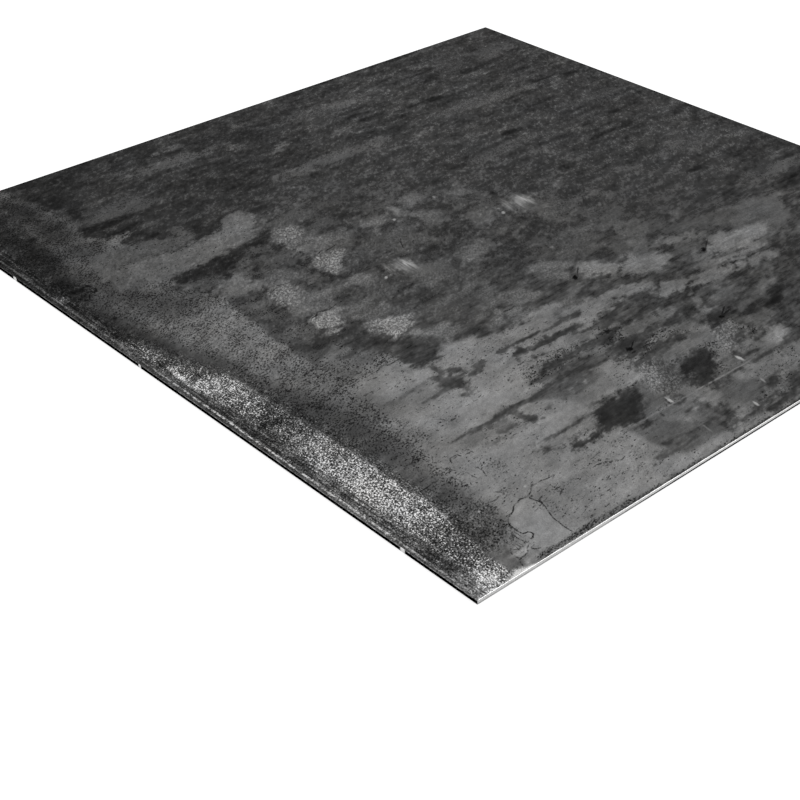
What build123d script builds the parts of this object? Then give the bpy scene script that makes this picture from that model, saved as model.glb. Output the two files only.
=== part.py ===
from build123d import *
import os

# Square cut piece of hot-rolled steel plate, as sold by the piece from stock.
# One rolled and sheared piece: one solid, one node.
# Frame: +X along the rolling direction, +Y across it, +Z up through the
# thickness. Origin at the centre of the underside, so z = 0 is the floor.
# All sizes in millimetres.

LENGTH_X = 609.6        # 24 in, along the rolling direction
WIDTH_Y = 609.6         # 24 in, across it
THICKNESS = 3.175       # 1/8 in

# Guillotine-sheared edge, from the top down: a small rollover where the blade
# entered, an upright burnished band, then the fracture zone, which leans in a
# little towards the underside.
ROLLOVER_R = 0.35       # round of the top arris
FRACTURE_H = 1.60       # height of the fracture zone above the underside
FRACTURE_SETBACK = 0.12  # how far the fracture zone leans in at the underside
CORNER_R = 0.45         # the four upright corners are cut nearly sharp

PLATE = "steel_plate"


def steel_plate():
    # Flat blank with nearly sharp upright corners.
    with BuildPart() as blank:
        with BuildSketch(Plane.XY):
            RectangleRounded(LENGTH_X, WIDTH_Y, CORNER_R)
        extrude(amount=THICKNESS)
        # The fracture zone: an uneven chamfer on the whole lower outline,
        # shallow inwards and tall upwards.
        underside = blank.faces().sort_by(Axis.Z)[0]
        chamfer(
            underside.outer_wire().edges(),
            length=FRACTURE_SETBACK,
            length2=FRACTURE_H,
            reference=underside,
        )
        # The rollover along the whole upper outline.
        top = blank.faces().sort_by(Axis.Z)[-1]
        fillet(top.outer_wire().edges(), radius=ROLLOVER_R)
    return blank.part


plate = steel_plate()
os.makedirs("parts", exist_ok=True)
export_step(plate, f"parts/{PLATE}.step")

if __name__ == "__main__":
    box = plate.bounding_box()
    print(
        PLATE,
        "size", [round(v, 3) for v in box.size],
        "low", [round(v, 3) for v in box.min],
        "volume mm3", round(plate.volume, 1),
        "mass kg", round(plate.volume * 7.85e-6, 3),
        "valid", plate.is_valid,
    )
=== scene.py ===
import math
import bpy
import numpy as np
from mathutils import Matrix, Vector


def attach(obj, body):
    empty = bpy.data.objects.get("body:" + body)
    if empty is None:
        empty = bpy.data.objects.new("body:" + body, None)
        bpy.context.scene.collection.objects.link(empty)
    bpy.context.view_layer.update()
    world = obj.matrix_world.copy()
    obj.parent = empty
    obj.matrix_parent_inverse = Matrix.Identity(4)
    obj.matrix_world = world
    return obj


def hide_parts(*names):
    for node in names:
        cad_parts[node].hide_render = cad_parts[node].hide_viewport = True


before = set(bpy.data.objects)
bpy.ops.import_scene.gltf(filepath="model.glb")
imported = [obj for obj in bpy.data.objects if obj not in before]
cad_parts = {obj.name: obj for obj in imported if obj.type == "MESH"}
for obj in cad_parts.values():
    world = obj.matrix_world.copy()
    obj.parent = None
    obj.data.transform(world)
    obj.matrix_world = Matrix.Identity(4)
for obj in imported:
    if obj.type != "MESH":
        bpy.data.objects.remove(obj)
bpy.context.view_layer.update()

# Square piece of hot-rolled steel plate: mill scale on the faces, sheared edges.
# The plate is drawn in millimetres from the corner nearest the camera:
# v runs along the rolling direction (+X), u across it (+Y).

# ---------------------------------------------------------------- sizes, in mm
SIDE = 609.6
THICK = 3.175
HALF = SIDE / 2
ROLL_R = 0.35        # rollover of the top arris
CORNER_R = 0.45      # upright corners
SET_BACK = 0.12      # fracture zone at the underside
LINES = 270          # cells along one side of the top face
COARSE = 96          # cells along one side of the underside


# ---- seeded value noise in the plane, about -1 .. 1 -------------------------
def _lattice(seed):
    return np.random.RandomState(seed).uniform(-1.0, 1.0, (128, 128))

def vnoise(a, b, seed):
    g = _lattice(seed)
    ia, ib = np.floor(a).astype(int), np.floor(b).astype(int)
    fa, fb = a - ia, b - ib
    fa = fa * fa * fa * (fa * (fa * 6 - 15) + 10)
    fb = fb * fb * fb * (fb * (fb * 6 - 15) + 10)
    p, q = ia % 128, ib % 128
    p1, q1 = (ia + 1) % 128, (ib + 1) % 128
    return ((g[p, q] * (1 - fa) + g[p1, q] * fa) * (1 - fb)
            + (g[p, q1] * (1 - fa) + g[p1, q1] * fa) * fb)

def fbm(a, b, seed, octaves=3, gain=0.5):
    total, amp, norm = 0.0, 1.0, 0.0
    for k in range(octaves):
        f = 2.0 ** k
        total = total + amp * vnoise(a * f + 17.3 * k, b * f + 5.7 * k, seed + k)
        norm += amp
        amp *= gain
    return total / norm

def step(lo, hi, x):
    t = np.clip((x - lo) / (hi - lo), 0.0, 1.0)
    return t * t * (3 - 2 * t)

# ---- signed distances in mm, positive inside --------------------------------
def ell(v, u, cv, cu, rv, ru, deg=0.0):
    a = np.radians(deg)
    x = (v - cv) * np.cos(a) + (u - cu) * np.sin(a)
    y = -(v - cv) * np.sin(a) + (u - cu) * np.cos(a)
    r = np.hypot(x / rv, y / ru)
    return (1.0 - r) * min(rv, ru)

def line(v, u, pts):
    """pts: (v, u, half width). Positive inside the stroke."""
    best = np.full(np.shape(v), -1e9)
    for (av, au, aw), (bv, bu, bw) in zip(pts[:-1], pts[1:]):
        dv, du = bv - av, bu - au
        t = np.clip(((v - av) * dv + (u - au) * du) / (dv * dv + du * du + 1e-9), 0, 1)
        d = np.hypot(v - av - t * dv, u - au - t * du)
        best = np.maximum(best, aw + (bw - aw) * t - d)
    return best

def poly(v, u, pts):
    inside = np.zeros(np.shape(v), bool)
    dist = np.full(np.shape(v), 1e9)
    n = len(pts)
    for i in range(n):
        (av, au), (bv, bu) = pts[i], pts[(i + 1) % n]
        dv, du = bv - av, bu - au
        t = np.clip(((v - av) * dv + (u - au) * du) / (dv * dv + du * du + 1e-9), 0, 1)
        dist = np.minimum(dist, np.hypot(v - av - t * dv, u - au - t * du))
        cross = (au > u) != (bu > u)
        with np.errstate(divide="ignore", invalid="ignore"):
            hit = v < (bv - av) * (u - au) / (bu - au if bu != au else 1e-9) + av
        inside ^= cross & hit
    return np.where(inside, dist, -dist)

def curve(u, pts):
    return np.interp(u, [p[0] for p in pts], [p[1] for p in pts])

# ---- shapes: P polygon, S stroke of (v, u, half width), E ellipse ------------
def P(*pts): return ("p", pts)
def S(*pts): return ("s", pts)
def E(cv, cu, rv, ru, deg=0.0): return ("e", (cv, cu, rv, ru, deg))


def reach(shape):
    kind, d = shape
    if kind == "e":
        r = max(d[2], d[3])
        return d[0] - r, d[0] + r, d[1] - r, d[1] + r
    w = max(p[2] for p in d) if kind == "s" else 0.0
    vs, us = [p[0] for p in d], [p[1] for p in d]
    return min(vs) - w, max(vs) + w, min(us) - w, max(us) + w


def depth(shape, v, u):
    kind, d = shape
    if kind == "e":
        return ell(v, u, *d)
    return line(v, u, d) if kind == "s" else poly(v, u, d)


def moved(shape, dv, du):
    kind, d = shape
    if kind == "e":
        return kind, (d[0] + dv, d[1] + du) + tuple(d[2:])
    return kind, tuple((p[0] + dv, p[1] + du) + tuple(p[2:]) for p in d)


class Canvas:
    """Finish of a face. edge: mm inside (+) or outside (-) the light film, whose
    border is width mm soft and frayed by rag; light and dark are the two tones."""

    LIMIT = 9.0

    def __init__(self, v, u):
        self.v, self.u = v, u
        full = lambda x: np.full(v.shape, float(x))
        self.edge, self.light, self.dark = full(-self.LIMIT), full(88 / 255), full(69 / 255)
        self.width, self.rag = full(1.4), full(1.0)
        # the last field gives the strength of the grainy strip, whose light grains are painted glints
        self.gran, self.dots, self.strk, self.glit = full(0), full(0), full(1), full(0)

    def pick(self, shape, pad):
        a, b, c, d = reach(shape)
        return np.flatnonzero((self.v > a - pad) & (self.v < b + pad) & (self.u > c - pad) & (self.u < d + pad))

    def ready(self, shape, pad):
        i = self.pick(shape, pad)
        return i, depth(shape, self.v[i], self.u[i])

    def _border(self, i, sd, shape, w, rag):
        m = step(-w - 4.0, -w - 1.0, sd)
        self.width[i] += (w - self.width[i]) * m
        if rag is None:
            rag = 1.0
            if shape[0] == "s":
                rag = min(0.85, max(0.22, min(p[2] for p in shape[1]) / 4.0 + 0.12))
        self.rag[i] += (rag - self.rag[i]) * m

    def film(self, shape, tone, soft=4.0, w=1.4, rag=None, gran=0.0, dots=None, strk=None, gain=1.0):
        i, sd = self.ready(shape, self.LIMIT + 2)
        sd = np.where(sd > 0, gain * sd, sd) + 0.5 * (gain - 1.0)
        self._border(i, sd, shape, w, rag)
        self.edge[i] = np.maximum(self.edge[i], np.minimum(sd, self.LIMIT))
        m = step(-soft, 0.3 * soft, sd)
        self.light[i] += (tone / 255 - self.light[i]) * m
        self.gran[i] += (gran - self.gran[i]) * m
        if dots is not None:
            self.dots[i] += (dots - self.dots[i]) * m
        if strk is not None:
            self.strk[i] += (strk - self.strk[i]) * m

    def scale(self, shape, tone, soft=4.0, w=1.4, rag=None):
        i, sd = self.ready(shape, self.LIMIT + 2)
        if shape[0] == "s":
            w *= 0.75
            sd = np.where(sd > 0, 2.0 * sd, sd) + 0.3
        self._border(i, sd, shape, w, rag)
        self.edge[i] = np.minimum(self.edge[i], np.maximum(-sd, -self.LIMIT))
        m = step(-soft, 0.3 * soft, sd)
        self.dark[i] += (tone / 255 - self.dark[i]) * m
        self.dots[i] *= 1 - 0.85 * step(-1.0, 2.5, sd)

    def shade(self, shape, tone, soft=4.0, amount=1.0, only="both"):
        """Repaint the tone without touching the border of the film."""
        i, sd = self.ready(shape, soft + 1)
        m = amount * step(-soft, soft, sd)
        if only != "dark":
            self.light[i] += (tone / 255 - self.light[i]) * m
        if only != "light":
            self.dark[i] += (tone / 255 - self.dark[i]) * m

    def spot(self, shape, soft, **levels):
        i, sd = self.ready(shape, soft + 1)
        m = step(-soft, soft, sd)
        for name, value in levels.items():
            a = getattr(self, name)
            a[i] += (value - a[i]) * m


def valley(c):
    """Front part: smooth light film with dark scale left standing in streaks."""
    # grey film beside the left band, peppered with pits
    c.film(P((52, -9), (56, 60), (58, 100), (54, 150), (48, 200), (42, 245), (38, 262),
             (32, 290), (26, 320), (20, 350), (18, 400), (26, 440), (36, 480), (40, 530),
             (46, 570), (54, 615), (66, 600), (72, 575), (73, 556), (76, 545), (76, 525), (72, 508),
             (72, 497), (80, 482), (100, 480), (86, 470), (84, 462), (104, 460), (112, 448), (110, 440), (84, 440),
             (76, 404), (82, 396), (74, 387), (74, 380), (92, 366), (97, 350), (92, 335),
             (94, 318), (88, 300), (92, 275), (94, 255), (112, 250), (124, 228), (134, 208),
             (150, 185), (215, 170), (262, 150), (300, 130), (330, 110), (345, 60), (270, -9)),
           112, soft=6, w=3.0, dots=0.9, strk=0.35)
    for shape, tone, soft in [
        (E(66, 215, 12, 60), 105, 10), (E(62, 160, 8, 40), 94, 8), (E(78, 300, 26, 46), 118, 14),
        (E(62, 372, 26, 22), 86, 10), (E(66, 430, 24, 20), 92, 8), (E(60, 480, 16, 16), 76, 10),
        (E(58, 520, 14, 26), 64, 10), (E(56, 565, 12, 24), 56, 10), (E(81, 340, 3, 7), 114, 3),
        (E(107, 243, 8, 8), 106, 4), (E(112, 218, 14, 8), 109, 5), (E(92, 222, 12, 16), 101, 8),
        (E(45, 282, 6, 20), 86, 5), (E(110, 208, 16, 6), 112, 4), (E(45, 415, 14, 36, 0), 74, 10),
    ]:
        c.shade(shape, tone, soft, only="light")
    c.spot(E(104, 243, 7, 7), 3, dots=0.35)
    c.spot(E(44, 275, 6, 16), 5, dots=0.2)
    c.spot(E(88, 430, 30, 20), 8, dots=0.5)

    # smooth light film
    c.film(P((57, -9), (56, 10), (59, 18), (59, 34), (63, 41), (66, 62), (68, 90), (72, 120), (82, 150), (84, 172),
             (86, 192), (93, 197), (98, 207), (128, 207), (133, 199), (131, 193), (140, 191), (141, 180), (148, 186), (153, 193), (161, 200),
             (170, 205), (178, 198), (187, 196), (194, 192), (206, 188), (214, 186), (222, 190),
             (232, 196), (240, 192), (252, 194), (262, 190), (270, 184), (278, 178), (300, 176),
             (300, 160), (284, 158), (268, 152), (240, 150), (228, 146), (214, 150), (196, 146), (180, 148), (174, 138), (172, 124),
             (238, 113), (246, 104), (240, 88), (188, 84), (172, 68), (176, 58), (184, 52),
             (184, 30), (183, 16), (204, 14), (262, 6), (262, -9)),
           124, soft=7, w=1.8, dots=0.30, strk=0.22)
    for shape, tone, soft, am in [
        (E(100, 60, 34, 26), 117, 12, .7), (E(96, 34, 17, 11), 109, 7, .8),
        (E(118, 36, 14, 5), 107, 4, .6), (E(100, 108, 24, 6), 103, 6, .8), (E(80, 128, 12, 18), 103, 10, .8), (E(78, 175, 16, 12), 90, 9, .8),
        (E(96, 163, 16, 8), 98, 7, .7), (E(136, 184, 36, 6), 137, 6, .8), (E(140, 142, 46, 12), 135, 10, .7),
        (E(118, 160, 18, 4), 122, 5, .5), (E(142, 93, 34, 8), 127, 6, .7), (E(146, 50, 36, 6), 121, 5, .6),
        (E(128, 28, 20, 6), 122, 5, .5), (E(150, 9, 40, 6), 127, 5, .7), (E(100, 9, 26, 5), 113, 4, .7),
        (E(203, 7, 15, 5), 131, 4, .9), (E(225, 105, 18, 8), 121, 6, .7), (E(205, 97, 14, 6), 100, 7, .7),
        (E(190, 98, 8, 12), 96, 5, .6), (E(229, 183, 12, 10), 128, 6, .8), (E(204, 182, 14, 8), 116, 6, .6),
        (E(106, 133, 8, 6), 104, 4, .8), (E(110, 173, 24, 4), 106, 4, .5), (E(80, 190, 12, 6), 84, 6, .5),
        (E(166, 143, 16, 10), 124, 8, .6), (E(158, 190, 16, 10), 125, 6, .7), (E(168, 75, 10, 5), 108, 4, .7), (E(140, 73, 9, 4), 101, 4, .6),
    ]:
        c.shade(shape, tone, soft, am, only="light")
    c.shade(P((58, 10), (59, 17), (63, 20), (62, 23), (59, 25), (59, 35), (64, 41), (72, 44), (79, 47), (85, 45.5), (87.4, 37), (84.6, 27), (82, 18), (81, 7), (60, 5)), 127, 1.6, .95, only="light")
    c.spot(P((58, 10), (59, 17), (59, 35), (64, 41), (72, 44), (79, 47), (85, 45.5), (87.4, 37), (84.6, 27), (82, 18), (81, 7), (60, 5)), 1.6, dots=0.0, strk=0.0)
    for shape in (E(169, 89, 28.8, 9, 7), E(136, 131, 29.6, 7, -1), E(101, 85, 27, 7, 3), E(142, 73, 15.7, 4, 2), E(190, 106, 40, 4)):
        c.spot(shape, 3, dots=0.03, strk=0.1)
    c.shade(E(100, 23, 17, 11, 20), 112, 7, .8, only="light")
    c.spot(E(106, 133, 9, 6), 3, dots=0.6)
    c.spot(E(155, 36, 22, 13), 6, dots=0.4)
    c.spot(E(92, 82, 12, 10), 5, dots=0.5)
    c.spot(E(80, 140, 6, 14), 4, dots=0.9)
    c.spot(E(96, 34, 16, 11), 5, dots=0.5)

    # films further along the side, broken up
    for shape, tone, w in [
        (P((184, 52), (184, 22), (190, 14), (262, 14), (262, 24), (252, 48), (214, 50)), 84, 3.5),
        (S((214, 44, 3), (219, 38, 4), (226, 44, 4), (240, 46, 5), (252, 44, 5)), 104, 2.2),
        (S((236, 40, 3), (246, 36, 4), (252, 42, 4)), 110, 2.0),
        (E(256, 18, 7, 6, 20), 104, 2.6), (S((236, 12.4, 1.4), (254, 13, 1.2)), 118, 1.4),
        (S((200, 58, 3), (214, 60, 4), (224, 62, 6), (222, 70, 3)), 88, 3.0),
        (S((228, 62, 4), (240, 58, 5), (252, 62, 3)), 92, 2.6),
        (P((212, 76), (228, 80), (226, 70), (214, 66)), 84, 3.5),
        (P((247, 98), (256, 99), (268, 97), (300, 98), (326, 92), (322, 84), (300, 86), (270, 88), (252, 88), (244, 90)), 95, 2.0),
        (E(316, 89, 8, 8), 120, 2.4), (S((286, 92, 3), (300, 93, 5), (308, 88, 5)), 101, 2.2),
        (P((260, 44), (258, 24), (268, 20), (300, 30), (306, 46), (290, 52), (262, 50)), 84, 3.0),
        (S((286, 44, 4), (296, 40, 7), (306, 48, 6)), 107, 2.4), (E(276, 11, 7, 3), 104, 2.0),
        (P((288, 58), (292, 68), (302, 70), (312, 64), (340, 68), (350, 66), (356, 56), (330, 50), (300, 52)), 96, 2.4),
        (E(345, 62, 12, 6, 25), 122, 3.0),
        (E(309, 130, 5, 6, 10), 111, 2.0), (S((331, 110, 2.2), (334, 117, 3), (338, 127, 2.8)), 102, 2.0),
        (S((300, 110, 3), (310, 109, 6), (320, 108, 4)), 92, 2.6), (E(282, 127, 6, 4, 10), 108, 2.2), (E(294, 126, 4, 3), 96, 2.0),
        (S((272, 128, 3), (292, 130, 3), (300, 122, 4)), 86, 2.2), (S((268, 148, 2), (282, 146, 3), (300, 146, 2)), 82, 2.2),
        (S((236, 146, 3), (242, 142, 4), (248, 146, 3)), 108, 2.2),
        (P((326, 146), (330, 156), (342, 158), (350, 153), (366, 153), (380, 152), (384, 146), (372, 140), (356, 142), (340, 141), (328, 142)), 102, 2.0),
        (E(336, 150, 8, 7, 10), 118, 3.0),
        (P((370, 136), (372, 141), (386, 141), (390, 137), (378, 135)), 112, 1.6),
        (S((345, 130, 2), (364, 130, 3), (380, 124, 4)), 84, 2.4), (S((352, 120, 4), (368, 119, 6), (376, 114, 4)), 90, 2.6),
        (E(394, 107, 9, 5, 15), 100, 2.4), (E(412, 119, 8, 4, 25), 90, 2.2), (E(434, 133, 7, 5, 25), 118, 2.0),
        (S((344, 84, 4), (358, 84, 7), (364, 78, 4)), 86, 2.8), (S((352, 98, 3), (372, 101, 4), (384, 104, 3)), 80, 2.6),
        (P((404, 141), (408, 150), (404, 158), (412, 166), (416, 176), (424, 181), (434, 179), (442, 172), (446, 158), (446, 146), (438, 141), (424, 143)), 112, 2.2),
        (E(429, 152, 12, 10, 20), 128, 5.0), (E(391, 155, 12, 7, 10), 94, 2.4), (E(388, 166, 7, 6, 50), 96, 2.2), (S((396, 152, 1.6), (404, 152, 1.4)), 104, 1.4),
        (E(426, 154, 27.2, 9, 2), 118, 2.0), (E(458, 153, 19.7, 7.0, 11), 112, 2.0), (E(406, 161, 12.6, 7, -3), 98, 2.2), (E(295, 167, 15.4, 7, 19), 116, 2.0), (E(323, 166, 12.4, 5.6, -11), 104, 2.0),
        (E(341, 148, 19.2, 7.5, 1), 112, 2.0), (E(363, 149, 13.3, 4.8, 10), 104, 2.0), (E(377, 138, 16.5, 4.4, -2), 104, 2.0), (E(416, 135, 25.8, 5.2, -4), 104, 1.8), (E(390, 163, 8, 5, -68), 98, 1.8),
        (E(396, 106, 10.5, 4.5, 14), 98, 2.2), (E(310, 128, 8.3, 4.1, 4), 104, 2.0), (E(335, 120, 10.8, 3.3, 54), 100, 2.0), (E(363, 98, 14.2, 5.8, 6), 86, 2.4), (E(368, 115, 10, 5, 8), 84, 2.2), (E(244, 182, 19.6, 8, -17), 112, 2.0),
        # between the streaks
        (P((283, 160), (288, 174), (300, 176), (308, 174), (318, 174), (327, 168), (328, 162), (316, 158), (306, 163), (298, 162)), 114, 2.0),
        (P((303, 198), (308, 210), (314, 215), (322, 217), (330, 212), (332, 200), (329, 193), (318, 193), (306, 195)), 116, 2.0),
        (E(324, 201, 6, 9, 0), 126, 4.0),
        (P((326, 184), (330, 190), (342, 186), (350, 190), (358, 187), (354, 178), (346, 171), (336, 176)), 106, 2.0), (E(349, 183, 7, 6, 20), 126, 4.0),
        (S((298, 186, 3), (312, 188, 3), (324, 186, 4)), 92, 2.2), (S((278, 190, 3), (290, 194, 4), (300, 192, 2)), 88, 2.4), (E(357, 174, 4, 2.6), 104, 1.8),
        (S((346, 194, 3), (358, 198, 5), (372, 202, 3)), 94, 2.4), (S((354, 202, 2.5), (359, 212, 3), (357, 222, 2)), 92, 2.2),
        (E(391, 198, 6, 4, 20), 106, 2.2), (S((396, 192, 2), (406, 194, 3), (419, 194, 2.6)), 102, 1.8), (S((400, 186, 2), (410, 184, 3), (426, 185, 3)), 90, 2.2), (S((396, 174, 2), (392, 184, 3)), 86, 2.2),
    ]:
        c.film(shape, tone + 4, soft=5, w=w, dots=0.12, strk=0.8, gain=1.7)


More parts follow.
